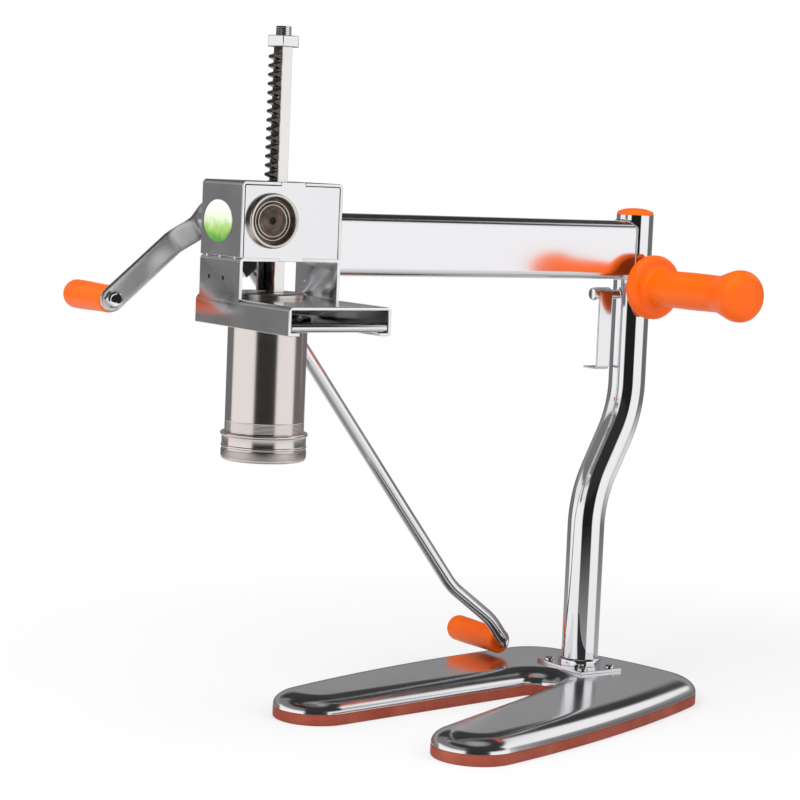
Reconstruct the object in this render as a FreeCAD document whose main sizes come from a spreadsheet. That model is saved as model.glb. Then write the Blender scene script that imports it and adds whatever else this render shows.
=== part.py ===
import FreeCAD, Part
import math
import os
from types import SimpleNamespace

import Sketcher
from FreeCAD import Placement, Rotation, Vector

# A hand cranked dough press. A rack pushes a piston down through a cylinder that hangs in a rail
# under the gear box; a beam carries the head from a bent post, which stands on a forked base.
# Frame: origin on the table under the foot of the post, +X from the head towards the post,
# +Y away from the open front of the press, +Z up.

doc = FreeCAD.newDocument("press")
sheet = doc.addObject("Spreadsheet::Sheet", "dims")

SIZES = {
    # forked base: a pressed plate over a rubber band, drawn with its lobes towards -X and then turned
    "base_turn": 17.0,
    "lobe_reach": 250.0,
    "lobe_spread": 84.0,
    "lobe_tip_radius": 35.5,
    "heel_reach": 14.0,
    "heel_spread": 56.0,
    "heel_radius": 48.0,
    "heel_arc_radius": 360.0,
    "side_arc_radius": 1200.0,
    "notch_reach": 60.0,
    "notch_radius": 18.0,
    "rubber_height": 9.0,
    "rubber_width": 10.0,
    "rubber_floor": 3.0,
    "plate_height": 13.0,
    "plate_edge_radius": 11.0,
    "plate_wall": 2.5,
    # post and its foot
    "flange_depth": 44.0,
    "flange_width": 64.0,
    "flange_thickness": 2.5,
    "screw_spacing_deep": 29.0,
    "screw_spacing_wide": 48.0,
    "screw_diameter": 5.0,
    "screw_head_diameter": 9.0,
    "screw_head_height": 2.6,
    "post_diameter": 32.0,
    "post_wall": 2.0,
    "post_offset": 37.0,
    "post_bend_angle": 26.0,
    "post_bend_radius": 110.0,
    "post_bend_start": 147.0,
    "post_top": 418.0,
    "collar_wall": 3.0,
    "collar_height": 6.5,
    "cap_rise": 6.0,
    "cap_plug_depth": 14.0,
    # beam
    "beam_height": 50.0,
    "beam_depth": 28.0,
    "beam_wall": 2.0,
    "beam_corner": 7.0,
    "beam_bottom": 362.5,
    "weld_gap": 0.06,
    # hand grip on the post
    "grip_height": 357.0,
    "grip_start": 24.0,
    "grip_length": 130.0,
    "grip_flange_diameter": 55.0,
    "grip_flange_thickness": 12.0,
    "grip_barrel_diameter": 31.0,
    "grip_knob_diameter": 43.0,
    "grip_knob_length": 26.0,
    "grip_stud_diameter": 12.0,
    "grip_washer_diameter": 26.0,
    # hook on the post
    "peg_height": 349.0,
    "peg_diameter": 8.0,
    "peg_length": 27.0,
    "peg_head_diameter": 11.0,
    "peg_head_length": 4.0,
    "hook_width": 20.0,
    "hook_gauge": 2.0,
    "hook_drop": 65.0,
    "hook_foot": 19.0,
    "hook_play": 0.1,
    # gear box
    "head_reach": 326.0,
    "box_depth": 65.0,
    "box_height": 59.0,
    "box_bottom": 377.0,
    "gauge": 2.5,
    "box_corner": 3.5,
    "tab_width": 21.5,
    "label_length": 45.0,
    "label_height": 33.0,
    "label_thickness": 0.3,
    "label_shift": 5.0,
    # shaft, bearings and gears
    "shaft_shift": 18.25,
    "shaft_height": 406.0,
    "shaft_diameter": 20.0,
    "shaft_play": 0.04,
    "spacer_diameter": 27.0,
    "side_gap": 0.4,
    "bearing_diameter": 37.0,
    "bearing_width": 9.0,
    "housing_diameter": 42.5,
    "housing_rise": 5.0,
    "bearing_recess": 3.4,
    "housing_lip": 2.0,
    "gear_module": 2.25,
    "pinion_teeth": 14,
    "pinion_width": 14.0,
    "pressure_angle": 20.0,
    "tooth_play": 0.4,
    # rack
    "rack_depth": 14.0,
    "rack_width": 13.0,
    "rack_teeth_above": 18,
    "rack_teeth_below": 3,
    "rack_foot_height": 349.0,
    "rack_neck_height": 541.0,
    "rack_slot_margin": 2.0,
    "stud_diameter": 12.0,
    "stud_length": 16.0,
    "nut_flats": 24.0,
    "nut_thickness": 8.5,
    "guide_gap": 0.3,
    "guide_wall": 10.0,
    "guide_cheek": 5.0,
    "guide_height": 44.0,
    "strip_width": 22.0,
    "strip_drop": 25.0,
    # piston and cylinder
    "piston_play": 0.3,
    "piston_thickness": 12.0,
    "piston_screw_diameter": 6.0,
    "piston_screw_head": 11.0,
    "cylinder_diameter": 63.0,
    "cylinder_wall": 1.5,
    "cylinder_bottom": 222.3,
    "cylinder_rim": 2.5,
    "cylinder_rim_thickness": 1.4,
    "ring_wall": 2.5,
    "ring_height": 22.0,
    "ring_play": 0.06,
    "ring_lip": 4.0,
    "ring_lip_thickness": 3.0,
    "ring_bead": 0.9,
    "die_thickness": 3.0,
    "die_hole_diameter": 3.8,
    "die_hole_spacing": 10.0,
    # rail under the box, and the drawer plate that runs in it
    "rail_top": 345.0,
    "rail_height": 22.0,
    "rail_front": 110.0,
    "rail_corner": 4.0,
    "rail_lip": 7.5,
    "slot_gap": 3.5,
    "mouth_play": 1.25,
    "drawer_margin": 1.25,
    "drawer_thickness": 3.0,
    "drawer_play": 0.25,
    "drawer_lift": 0.05,
    "drawer_bar_height": 7.0,
    # short crank
    "crank_turn": 139.0,
    "crank_length": 105.0,
    "crank_plane": 78.5,
    "crank_gauge": 4.0,
    "crank_width": 18.0,
    "crank_hub_plane": 66.0,
    "crank_hub_diameter": 25.0,
    "crank_step_start": 13.0,
    "crank_step_end": 36.0,
    "crank_boss_diameter": 25.0,
    "crank_boss_length": 6.0,
    "square_size": 12.0,
    "shaft_nut_flats": 17.0,
    "shaft_nut_thickness": 6.0,
    "shaft_thread_diameter": 10.0,
    "bolt_diameter": 8.0,
    "bolt_play": 0.06,
    "bolt_head_flats": 13.0,
    "bolt_head_height": 5.5,
    "handle_length": 70.0,
    "handle_wide_diameter": 23.5,
    "handle_slim_diameter": 22.0,
    "handle_gap": 0.5,
    # long lever
    "lever_turn": 52.7,
    "lever_plane": 52.0,
    "lever_hub_diameter": 34.0,
    "lever_hub_length": 12.0,
    "lever_plate_reach": 53.0,
    "lever_plate_width": 22.0,
    "lever_play": 0.05,
    "lever_rod_diameter": 11.5,
    "lever_bend_start": 388.0,
    "lever_bend_angle": 16.0,
    "lever_bend_radius": 60.0,
    "lever_bend_step": 15.0,
    "lever_reach": 477.5,
    "lever_pin_diameter": 10.0,
    "lever_handle_start": 60.0,
    "lever_handle_length": 73.0,
    "lever_handle_diameter": 23.0,
}


class Size:
    """A number together with the sheet expression that gives it."""

    def __init__(self, value, text):
        self.value = value
        self.text = text

    def __add__(self, other):
        other = sized(other)
        return Size(self.value + other.value, f"({self.text} + {other.text})")

    def __sub__(self, other):
        other = sized(other)
        return Size(self.value - other.value, f"({self.text} - {other.text})")

    def __mul__(self, other):
        other = sized(other)
        return Size(self.value * other.value, f"({self.text} * {other.text})")

    def __truediv__(self, other):
        other = sized(other)
        return Size(self.value / other.value, f"({self.text} / {other.text})")

    def __neg__(self):
        return Size(-self.value, f"(0 - {self.text})")

    def __radd__(self, other):
        return sized(other) + self

    def __rsub__(self, other):
        return sized(other) - self

    def __rmul__(self, other):
        return sized(other) * self


def sized(number):
    """A plain number as a Size."""
    if isinstance(number, Size):
        return number
    return Size(float(number), f"{float(number):.9g}")


def sine(angle):
    return Size(math.sin(math.radians(angle.value)), f"sin({angle.text})")


def cosine(angle):
    return Size(math.cos(math.radians(angle.value)), f"cos({angle.text})")


for row, (alias, value) in enumerate(SIZES.items(), start=1):
    sheet.set(f"A{row}", alias.replace("_", " "))
    sheet.set(f"B{row}", str(value))
    sheet.setAlias(f"B{row}", alias)
d = SimpleNamespace(**{alias: Size(float(value), f"dims.{alias}") for alias, value in SIZES.items()})
doc.recompute()

nodes = {}
UP = (Vector(0, 0, 1), 0)
TO_BACK = (Vector(1, 0, 0), -90)
TO_FRONT = (Vector(1, 0, 0), 90)
TO_RIGHT = (Vector(0, 1, 0), 90)
TO_LEFT = (Vector(0, 1, 0), -90)


def bind(item, prop, size):
    """Tie one property to the sheet."""
    item.setExpression(prop, sized(size).text)


def put(item, x=0, y=0, z=0, facing=UP, turn=None):
    """Place an item: facing sends its own Z somewhere, turn swings it about the axis of facing."""
    axis, angle = facing
    item.Placement = Placement(Vector(), Rotation(axis, angle if turn is None else turn.value))
    if turn is not None:
        bind(item, "Placement.Rotation.Angle", turn)
    for letter, size in (("x", x), ("y", y), ("z", z)):
        bind(item, f"Placement.Base.{letter}", size)
    return item


def node(name, item):
    """Name an item as a sub-part of the press."""
    item.Label = name
    nodes[name] = item
    return item


def box(name, x, y, z):
    """A block between the pairs of limits x, y and z."""
    block = doc.addObject("Part::Box", name)
    bind(block, "Length", x[1] - x[0])
    bind(block, "Width", y[1] - y[0])
    bind(block, "Height", z[1] - z[0])
    return put(block, x[0], y[0], z[0])


def rod(name, diameter, length, x=0, y=0, z=0, facing=UP):
    """A round bar that starts at a point and runs the way it faces."""
    bar = doc.addObject("Part::Cylinder", name)
    bind(bar, "Radius", diameter / 2)
    bind(bar, "Height", sized(length))
    return put(bar, x, y, z, facing)


def fuse(name, *items):
    joined = doc.addObject("Part::MultiFuse", name)
    joined.Shapes = list(items)
    joined.Refine = True
    return joined


def cut(name, base, *tools):
    """Take the tools out of the base."""
    result = doc.addObject("Part::Cut", name)
    result.Base = base
    result.Tool = tools[0] if len(tools) == 1 else fuse(name + "_tools", *tools)
    result.Refine = True
    return result


def gather(name, items):
    """Like fasteners as separate solids of one sub-part."""
    group = doc.addObject("Part::Compound", name)
    group.Links = list(items)
    return group


def new_body(name):
    return doc.addObject("PartDesign::Body", name)


def sketch_on(body, role, name, offset=0):
    """A sketch on one of the body's own origin planes, moved along the plane's normal."""
    sketch = body.newObject("Sketcher::SketchObject", name)
    plane = [feature for feature in body.Origin.OriginFeatures if feature.Role == role][0]
    sketch.AttachmentSupport = [(plane, "")]
    sketch.MapMode = "FlatFace"
    bind(sketch, "AttachmentOffset.Base.z", offset)
    return sketch


def pin(sketch, geometry, point, x, y):
    """Tie a point of the sketch to its two coordinates."""
    for kind, size, axis in (("DistanceX", sized(x), -2), ("DistanceY", sized(y), -1)):
        if abs(size.value) < 1e-9:
            sketch.addConstraint(Sketcher.Constraint("PointOnObject", geometry, point, axis))
            continue
        index = sketch.addConstraint(Sketcher.Constraint(kind, -1, 1, geometry, point, size.value))
        bind(sketch, f"Constraints[{index}]", size)


def set_radius(sketch, geometry, radius):
    index = sketch.addConstraint(Sketcher.Constraint("Radius", geometry, radius.value))
    bind(sketch, f"Constraints[{index}]", radius)


def draw_loop(sketch, corners):
    """A closed loop of straight runs through the corners."""
    first = sketch.GeometryCount
    count = len(corners)
    spots = [Vector(sized(x).value, sized(y).value, 0) for x, y in corners]
    for i in range(count):
        sketch.addGeometry(Part.LineSegment(spots[i], spots[(i + 1) % count]), False)
    for i in range(count):
        sketch.addConstraint(Sketcher.Constraint("Coincident", first + i, 2, first + (i + 1) % count, 1))
        pin(sketch, first + i, 1, *corners[i])


def draw_circle(sketch, x, y, diameter):
    centre = Vector(sized(x).value, sized(y).value, 0)
    circle = sketch.addGeometry(Part.Circle(centre, Vector(0, 0, 1), diameter.value / 2), False)
    pin(sketch, circle, 3, x, y)
    set_radius(sketch, circle, diameter / 2)


def feature(body, kind, name, sketch):
    made = body.newObject(f"PartDesign::{kind}", name)
    made.Profile = sketch
    return made


def pad(body, name, sketch, length, back=False):
    made = feature(body, "Pad", name, sketch)
    made.Reversed = back
    bind(made, "Length", length)
    return made


def pocket(body, name, sketch, depth, back=False):
    """Cut a pocket and make sure that it removed something."""
    doc.recompute()
    before = body.Shape.Volume
    made = feature(body, "Pocket", name, sketch)
    made.Reversed = back
    bind(made, "Length", depth)
    doc.recompute()
    assert body.Shape.Volume < before - 1e-3, name
    return made


def round_off(body, name, radius, wanted):
    """Fillet the edges of the body that the test picks."""
    doc.recompute()
    base = body.Tip
    picked = [f"Edge{i}" for i, edge in enumerate(base.Shape.Edges, start=1) if wanted(edge)]
    assert picked, name
    made = body.newObject("PartDesign::Fillet", name)
    made.Base = (base, picked)
    bind(made, "Radius", radius)
    return made


def runs_at(**spot):
    """A test for straight or curved edges whose ends all have the given coordinates."""
    def wanted(edge):
        return all(
            abs(getattr(corner.Point, letter) - sized(size).value) < 1e-3
            for corner in edge.Vertexes
            for letter, size in spot.items()
        )
    return wanted


def circles_at(radius, height):
    """A test for round edges about the Z axis with the given radius and height."""
    def wanted(edge):
        curve = edge.Curve
        if not isinstance(curve, Part.Circle):
            return False
        return abs(curve.Radius - radius.value) < 1e-3 and abs(curve.Center.z - sized(height).value) < 1e-3
    return wanted


def turned(name, profile, rounds=()):
    """A piece turned about its Z axis from (radius, height) corners, with some edges rounded."""
    body = new_body(name)
    sketch = sketch_on(body, "XZ_Plane", name + "_profile")
    draw_loop(sketch, profile)
    turn = feature(body, "Revolution", name + "_turn", sketch)
    turn.ReferenceAxis = (sketch, ["V_Axis"])
    turn.Angle = 360
    for number, (radius, height, fillet) in enumerate(rounds, start=1):
        round_off(body, f"{name}_round_{number}", sized(fillet), circles_at(sized(radius), height))
    return body


def hexagon(name, flats, thickness):
    """A hexagonal prism on the XY plane with corners towards +X and -X."""
    prism = doc.addObject("Part::Prism", name)
    prism.Polygon = 6
    bind(prism, "Circumradius", flats / math.sqrt(3))
    bind(prism, "Height", sized(thickness))
    return prism


# Shared places.
base_top = d.rubber_height + d.plate_height
flange_top = base_top + d.flange_thickness
head_x = -d.head_reach
cylinder_bore = d.cylinder_diameter - d.cylinder_wall * 2
box_width = d.cylinder_diameter + (d.slot_gap + d.rail_lip + d.gauge) * 2
box_left = head_x - box_width / 2
box_right = head_x + box_width / 2
box_front = -d.box_depth / 2
box_back = d.box_depth / 2
box_top = d.box_bottom + d.box_height
web_bottom = d.box_bottom - d.gauge
shaft_x = head_x - d.shaft_shift
pitch_radius = d.gear_module * d.pinion_teeth / 2
pitch_line = shaft_x + pitch_radius
tooth_pitch = d.gear_module * math.pi
rack_addendum = d.gear_module * 0.85
rack_dedendum = d.gear_module * 1.15
rack_tip = pitch_line - rack_addendum
rack_root = pitch_line + rack_dedendum
rack_back = rack_tip + d.rack_depth
rack_core_x = (rack_root + rack_back) / 2
rail_bottom = d.rail_top - d.rail_height
rail_back = d.cylinder_diameter / 2 + d.cylinder_rim + d.drawer_margin + d.drawer_play + d.gauge
lip_top = rail_bottom + d.gauge
drawer_bottom = lip_top + d.drawer_lift
drawer_top = drawer_bottom + d.drawer_thickness
journal_end = d.crank_hub_plane - d.crank_boss_length


# Forked base.

def tangent_angle(start, end, gap):
    """Angle of the normal of the line that passes between two circles whose radii add up to gap."""
    run = end - start
    return math.atan2(run.y, run.x) - math.acos(gap / run.Length)


def inner_arc_centre(first, second, first_gap, second_gap):
    """Centre below two points, at the given distances from them."""
    run = second - first
    along = (first_gap**2 - second_gap**2 + run.Length**2) / (2 * run.Length)
    across = math.sqrt(first_gap**2 - along**2)
    unit = Vector(run).normalize()
    sides = [first + unit * along + Vector(-unit.y, unit.x, 0) * side * across for side in (1, -1)]
    return min(sides, key=lambda spot: spot.y)


def draw_base_outline(sketch, inset):
    """The fork: two heel corners, two lobe tips and a notch, joined by tangent arcs and lines."""
    heel = d.heel_radius - inset
    tip = d.lobe_tip_radius - inset
    notch = d.notch_radius + inset
    side = d.side_arc_radius - inset
    rear = d.heel_arc_radius - inset
    heel_centre = Vector(d.heel_reach.value, d.heel_spread.value, 0)
    tip_centre = Vector(-d.lobe_reach.value, d.lobe_spread.value, 0)
    notch_centre = Vector(-d.notch_reach.value, 0, 0)
    rear_run = math.sqrt((rear - heel).value**2 - heel_centre.y**2)
    rear_centre = Vector(heel_centre.x - rear_run, 0, 0)
    side_centre = inner_arc_centre(heel_centre, tip_centre, (side - heel).value, (side - tip).value)
    rear_angle = math.atan2(heel_centre.y, rear_run)
    heel_end = math.atan2(heel_centre.y - side_centre.y, heel_centre.x - side_centre.x)
    tip_start = math.atan2(tip_centre.y - side_centre.y, tip_centre.x - side_centre.x)
    normal = tangent_angle(notch_centre, tip_centre, (tip + notch).value)
    tip_end = normal + math.pi
    up = Vector(0, 0, 1)

    def flipped(spot):
        return Vector(spot.x, -spot.y, 0)

    def arc(centre, radius, start, end):
        return sketch.addGeometry(Part.ArcOfCircle(Part.Circle(centre, up, radius.value), start, end), False)

    def spot_on(centre, radius, angle):
        return centre + Vector(math.cos(angle), math.sin(angle), 0) * radius

    rear_arc = arc(rear_centre, rear, -rear_angle, rear_angle)
    heel_up = arc(heel_centre, heel, rear_angle, heel_end)
    side_up = arc(side_centre, side, heel_end, tip_start)
    tip_up = arc(tip_centre, tip, tip_start, tip_end)
    tip_spot = spot_on(tip_centre, tip.value, tip_end)
    notch_spot = spot_on(notch_centre, notch.value, normal)
    line_up = sketch.addGeometry(Part.LineSegment(tip_spot, notch_spot), False)
    notch_arc = arc(notch_centre, notch, -normal, normal)
    line_down = sketch.addGeometry(Part.LineSegment(flipped(notch_spot), flipped(tip_spot)), False)
    tip_down = arc(flipped(tip_centre), tip, -tip_end, -tip_start)
    side_down = arc(flipped(side_centre), side, -tip_start, -heel_end)
    heel_down = arc(flipped(heel_centre), heel, -heel_end, -rear_angle)
    joints = (
        (rear_arc, 2, heel_up, 1),
        (heel_up, 2, side_up, 1),
        (side_up, 2, tip_up, 1),
        (tip_up, 2, line_up, 1),
        (line_up, 2, notch_arc, 2),
        (notch_arc, 1, line_down, 1),
        (line_down, 2, tip_down, 1),
        (tip_down, 2, side_down, 1),
        (side_down, 2, heel_down, 1),
        (heel_down, 2, rear_arc, 1),
    )
    for joint in joints:
        sketch.addConstraint(Sketcher.Constraint("Tangent", *joint))
    pin(sketch, heel_up, 3, d.heel_reach, d.heel_spread)
    pin(sketch, heel_down, 3, d.heel_reach, -d.heel_spread)
    pin(sketch, tip_up, 3, -d.lobe_reach, d.lobe_spread)
    pin(sketch, tip_down, 3, -d.lobe_reach, -d.lobe_spread)
    pin(sketch, notch_arc, 3, -d.notch_reach, 0)
    for geometry, radius in (
        (heel_up, heel), (heel_down, heel), (tip_up, tip), (tip_down, tip),
        (notch_arc, notch), (side_up, side), (side_down, side), (rear_arc, rear),
    ):
        set_radius(sketch, geometry, radius)


def base_sketch(body, name, inset, height=0):
    sketch = sketch_on(body, "XY_Plane", name, height)
    draw_base_outline(sketch, sized(inset))
    return sketch


def make_base_rubber():
    """Rubber tray under the base plate: a band below the rim and a thin floor to stand on."""
    body = new_body("rubber_body")
    pad(body, "rubber_pad", base_sketch(body, "rubber_outline", 0), d.rubber_height)
    inside = base_sketch(body, "rubber_inside", d.rubber_width, d.rubber_height)
    pocket(body, "rubber_hollow", inside, d.rubber_height - d.rubber_floor)
    node("base_rubber", put(body, turn=d.base_turn))


def screw_spots():
    """Places of the four flange screws."""
    return [
        (d.screw_spacing_deep * across / 2, d.screw_spacing_wide * along / 2)
        for across in (-1, 1)
        for along in (-1, 1)
    ]


def screw_holes(name, bottom, top):
    return [
        rod(f"{name}_{number}", d.screw_diameter, top - bottom, x, y, bottom)
        for number, (x, y) in enumerate(screw_spots(), start=1)
    ]


def make_base_plate():
    """Pressed plate with a wide rounded rim, hollow below in two steps that follow the rim."""
    body = new_body("plate_body")
    pad(body, "plate_pad", base_sketch(body, "plate_outline", 0), d.plate_height)
    round_off(body, "plate_rim", d.plate_edge_radius, runs_at(z=d.plate_height))
    rim_flat = d.plate_height - d.plate_edge_radius
    step = base_sketch(body, "plate_step", d.plate_wall)
    pocket(body, "plate_step_hollow", step, rim_flat + 2, back=True)
    middle = base_sketch(body, "plate_middle", d.plate_edge_radius - 1)
    pocket(body, "plate_hollow", middle, d.plate_height - d.plate_wall, back=True)
    put(body, z=d.rubber_height, turn=d.base_turn)
    holes = screw_holes("plate_hole", base_top - d.plate_height, base_top)
    node("base_plate", cut("plate_drilled", body, *holes))


def make_flange():
    """Flat plate that screws the post to the base, with its four pan head screws."""
    blank = box(
        "flange_blank",
        (-d.flange_depth / 2, d.flange_depth / 2),
        (-d.flange_width / 2, d.flange_width / 2),
        (base_top, flange_top),
    )
    node("flange_plate", cut("flange_drilled", blank, *screw_holes("flange_hole", base_top, flange_top)))
    screws = []
    for number, (x, y) in enumerate(screw_spots(), start=1):
        head = d.screw_head_diameter / 2
        shank = d.screw_diameter / 2
        reach = d.flange_thickness + d.plate_wall + 3
        profile = [
            (0, -reach), (shank, -reach), (shank, 0), (head, 0), (head, d.screw_head_height * 0.4),
            (head * 0.6, d.screw_head_height), (0, d.screw_head_height),
        ]
        screw = turned(f"screw_{number}", profile)
        screws.append(put(screw, x, y, flange_top))
    node("flange_screws", gather("flange_screw_set", screws))


# Post.

def post_path():
    """Corners of the bent centre line of the post, in X and Z."""
    rise = d.post_bend_radius * sine(d.post_bend_angle)
    shift = d.post_bend_radius * (1 - cosine(d.post_bend_angle))
    straight = (d.post_offset - shift * 2) / sine(d.post_bend_angle)
    first = (sized(0), d.post_bend_start)
    second = (shift, d.post_bend_start + rise)
    third = (shift + straight * sine(d.post_bend_angle), second[1] + straight * cosine(d.post_bend_angle))
    fourth = (d.post_offset, third[1] + rise)
    return [(sized(0), flange_top), first, second, third, fourth, (d.post_offset, d.post_top)]


def draw_bent_line(sketch, path, radii, sides):
    """Straight runs and tangent arcs in turn; side +1 bends to the right of the way along."""
    spots = [Vector(x.value, y.value, 0) for x, y in path]
    previous = None
    for i in range(len(spots) - 1):
        start, end = spots[i], spots[i + 1]
        if i % 2 == 0:
            piece = sketch.addGeometry(Part.LineSegment(start, end), False)
            begin, finish = 1, 2
        else:
            radius, side = radii[i // 2], sides[i // 2]
            way = Vector(spots[i] - spots[i - 1]).normalize()
            centre = start + Vector(way.y, -way.x, 0) * radius.value * side
            angles = [math.atan2(spot.y - centre.y, spot.x - centre.x) for spot in (start, end)]
            begin, finish = 1, 2
            if side > 0:
                angles.reverse()
                begin, finish = 2, 1
            circle = Part.Circle(centre, Vector(0, 0, 1), radius.value)
            piece = sketch.addGeometry(Part.ArcOfCircle(circle, *angles), False)
            set_radius(sketch, piece, radius)
        if previous is not None:
            sketch.addConstraint(Sketcher.Constraint("Coincident", *previous, piece, begin))
        pin(sketch, piece, begin, *path[i])
        previous = (piece, finish)
    pin(sketch, *previous, *path[-1])


def make_post():
    """Steel tube with a double bend, its foot collar and the plastic cap in its top."""
    body = new_body("post_body")
    spine = sketch_on(body, "XZ_Plane", "post_line")
    radii = (d.post_bend_radius, d.post_bend_radius)
    draw_bent_line(spine, post_path(), radii, (1, -1))
    ring = sketch_on(body, "XY_Plane", "post_section", flange_top)
    draw_circle(ring, 0, 0, d.post_diameter)
    draw_circle(ring, 0, 0, d.post_diameter - d.post_wall * 2)
    doc.recompute()
    pipe = feature(body, "AdditivePipe", "post_sweep", ring)
    pipe.Spine = (spine, [f"Edge{i}" for i in range(1, 6)])
    node("post_tube", body)

    inner = d.post_diameter / 2
    outer = inner + d.collar_wall
    profile = [
        (inner, 0), (outer, 0), (outer, d.collar_height - 2), (outer - 1.5, d.collar_height),
        (inner, d.collar_height),
    ]
    collar = turned("collar", profile)
    node("post_collar", put(collar, z=flange_top))

    plug = d.post_diameter / 2 - d.post_wall
    profile = [
        (0, -d.cap_plug_depth), (plug, -d.cap_plug_depth), (plug, 0), (inner, 0), (inner, d.cap_rise),
        (0, d.cap_rise),
    ]
    cap = turned("cap", profile, [(inner, d.cap_rise, 3.0)])
    node("post_cap", put(cap, x=d.post_offset, z=d.post_top))


def post_cutter(name, bottom, top):
    """The straight upper part of the post as a solid bar, to shape what is welded to it."""
    return rod(name, d.post_diameter + d.weld_gap * 2, top - bottom, d.post_offset, 0, bottom)


def make_beam():
    """Rectangular tube with rounded corners from the gear box to the post."""
    body = new_body("beam_body")
    section = sketch_on(body, "YZ_Plane", "beam_section", box_right)
    half = d.beam_depth / 2
    top = d.beam_bottom + d.beam_height
    draw_loop(section, [(-half, d.beam_bottom), (half, d.beam_bottom), (half, top), (-half, top)])
    pad(body, "beam_pad", section, d.post_offset - box_right)

    def long_edges(edge):
        return abs(edge.tangentAt(edge.FirstParameter).x) > 0.99

    round_off(body, "beam_corners", d.beam_corner, long_edges)
    inside = sketch_on(body, "YZ_Plane", "beam_hollow", box_right)
    wall = d.beam_wall
    draw_loop(inside, [
        (-half + wall, d.beam_bottom + d.beam_corner), (half - wall, d.beam_bottom + d.beam_corner),
        (half - wall, top - d.beam_corner), (-half + wall, top - d.beam_corner),
    ])
    pocket(body, "beam_wide_hollow", inside, d.post_offset - box_right, back=True)
    tall = sketch_on(body, "YZ_Plane", "beam_tall", box_right)
    narrow = half - d.beam_corner
    draw_loop(tall, [
        (-narrow, d.beam_bottom + wall), (narrow, d.beam_bottom + wall), (narrow, top - wall),
        (-narrow, top - wall),
    ])
    pocket(body, "beam_tall_hollow", tall, d.post_offset - box_right, back=True)
    node("beam", cut("beam_fitted", body, post_cutter("beam_saddle", d.beam_bottom - 5, top + 5)))


def make_hand_grip():
    """Moulded grip with a round guard and a swollen end, on a stud welded to the post."""
    guard = d.grip_flange_diameter / 2
    barrel = d.grip_barrel_diameter / 2
    knob = d.grip_knob_diameter / 2
    stud = d.grip_stud_diameter / 2
    knob_start = d.grip_length - d.grip_knob_length
    bore_end = d.grip_length - 12
    profile = [
        (stud, 0), (guard - 3, 0), (guard, 3), (guard, d.grip_flange_thickness - 3),
        (guard - 3, d.grip_flange_thickness), (barrel, d.grip_flange_thickness + 2),
        (barrel, knob_start - 8), (knob, knob_start + 14), (knob, d.grip_length),
        (0, d.grip_length), (0, bore_end), (stud, bore_end),
    ]
    rounds = [
        (knob, d.grip_length, 9.0),
        (knob, knob_start + 14, 9.0),
        (barrel, knob_start - 8, 12.0),
    ]
    grip = turned("grip", profile, rounds)
    node("hand_grip", put(grip, d.post_offset, -d.grip_start, d.grip_height, TO_FRONT))

    washer = rod("grip_washer", d.grip_washer_diameter, d.grip_start, d.post_offset, 0, d.grip_height,
                 TO_FRONT)
    pin_length = d.grip_start + bore_end
    shank = rod("grip_shank", d.grip_stud_diameter, pin_length, d.post_offset, 0, d.grip_height, TO_FRONT)
    whole = fuse("grip_stud_blank", washer, shank)
    cutter = post_cutter("grip_saddle", d.grip_height - 20, d.grip_height + 20)
    node("grip_stud", cut("grip_stud_fitted", whole, cutter))


def make_hook():
    """Round peg with a head, and the flat hook that hangs from it."""
    post_face = d.post_offset - d.post_diameter / 2
    peg_end = post_face - d.peg_length
    shank = rod("peg_shank", d.peg_diameter, d.post_offset - peg_end, peg_end, 0, d.peg_height, TO_RIGHT)
    head = rod("peg_head", d.peg_head_diameter, d.peg_head_length, peg_end, 0, d.peg_height, TO_RIGHT)
    cutter = post_cutter("peg_saddle", d.peg_height - 12, d.peg_height + 12)
    node("hook_peg", cut("peg_fitted", fuse("peg_blank", shank, head), cutter))

    body = new_body("hook_body")
    bore = d.peg_diameter / 2 + d.hook_play
    side = sketch_on(body, "YZ_Plane", "hook_side", peg_end + d.peg_head_length + 0.5)
    outer = bore + d.hook_gauge
    bottom = -d.hook_drop
    draw_loop(side, [
        (-outer, 0), (-outer, bottom), (d.hook_foot - outer, bottom),
        (d.hook_foot - outer, bottom + d.hook_gauge), (-bore, bottom + d.hook_gauge), (-bore, 0),
    ])
    pad(body, "hook_strip", side, d.hook_width)
    eye = sketch_on(body, "YZ_Plane", "hook_eye", peg_end + d.peg_head_length + 0.5)
    draw_circle(eye, 0, 0, outer * 2)
    draw_circle(eye, 0, 0, bore * 2)
    pad(body, "hook_loop", eye, d.hook_width)
    node("hook_strip", put(body, z=d.peg_height))


# Gear box, bracket and rail.

def tab_limits():
    return (head_x - d.tab_width / 2, head_x + d.tab_width / 2)


def rack_slot(name, bottom, top):
    """Clear opening round the rack."""
    margin = d.rack_slot_margin
    return box(
        name,
        (rack_tip - margin, rack_back + margin),
        (-d.rack_width / 2 - margin, d.rack_width / 2 + margin),
        (bottom, top),
    )


def tab_notches(name, bottom, top):
    """Notches for the tabs of the front and back plates."""
    front = box(f"{name}_front", tab_limits(), (box_front, box_front + d.gauge), (bottom, top))
    back = box(f"{name}_back", tab_limits(), (box_back - d.gauge, box_back), (bottom, top))
    return [front, back]


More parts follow.
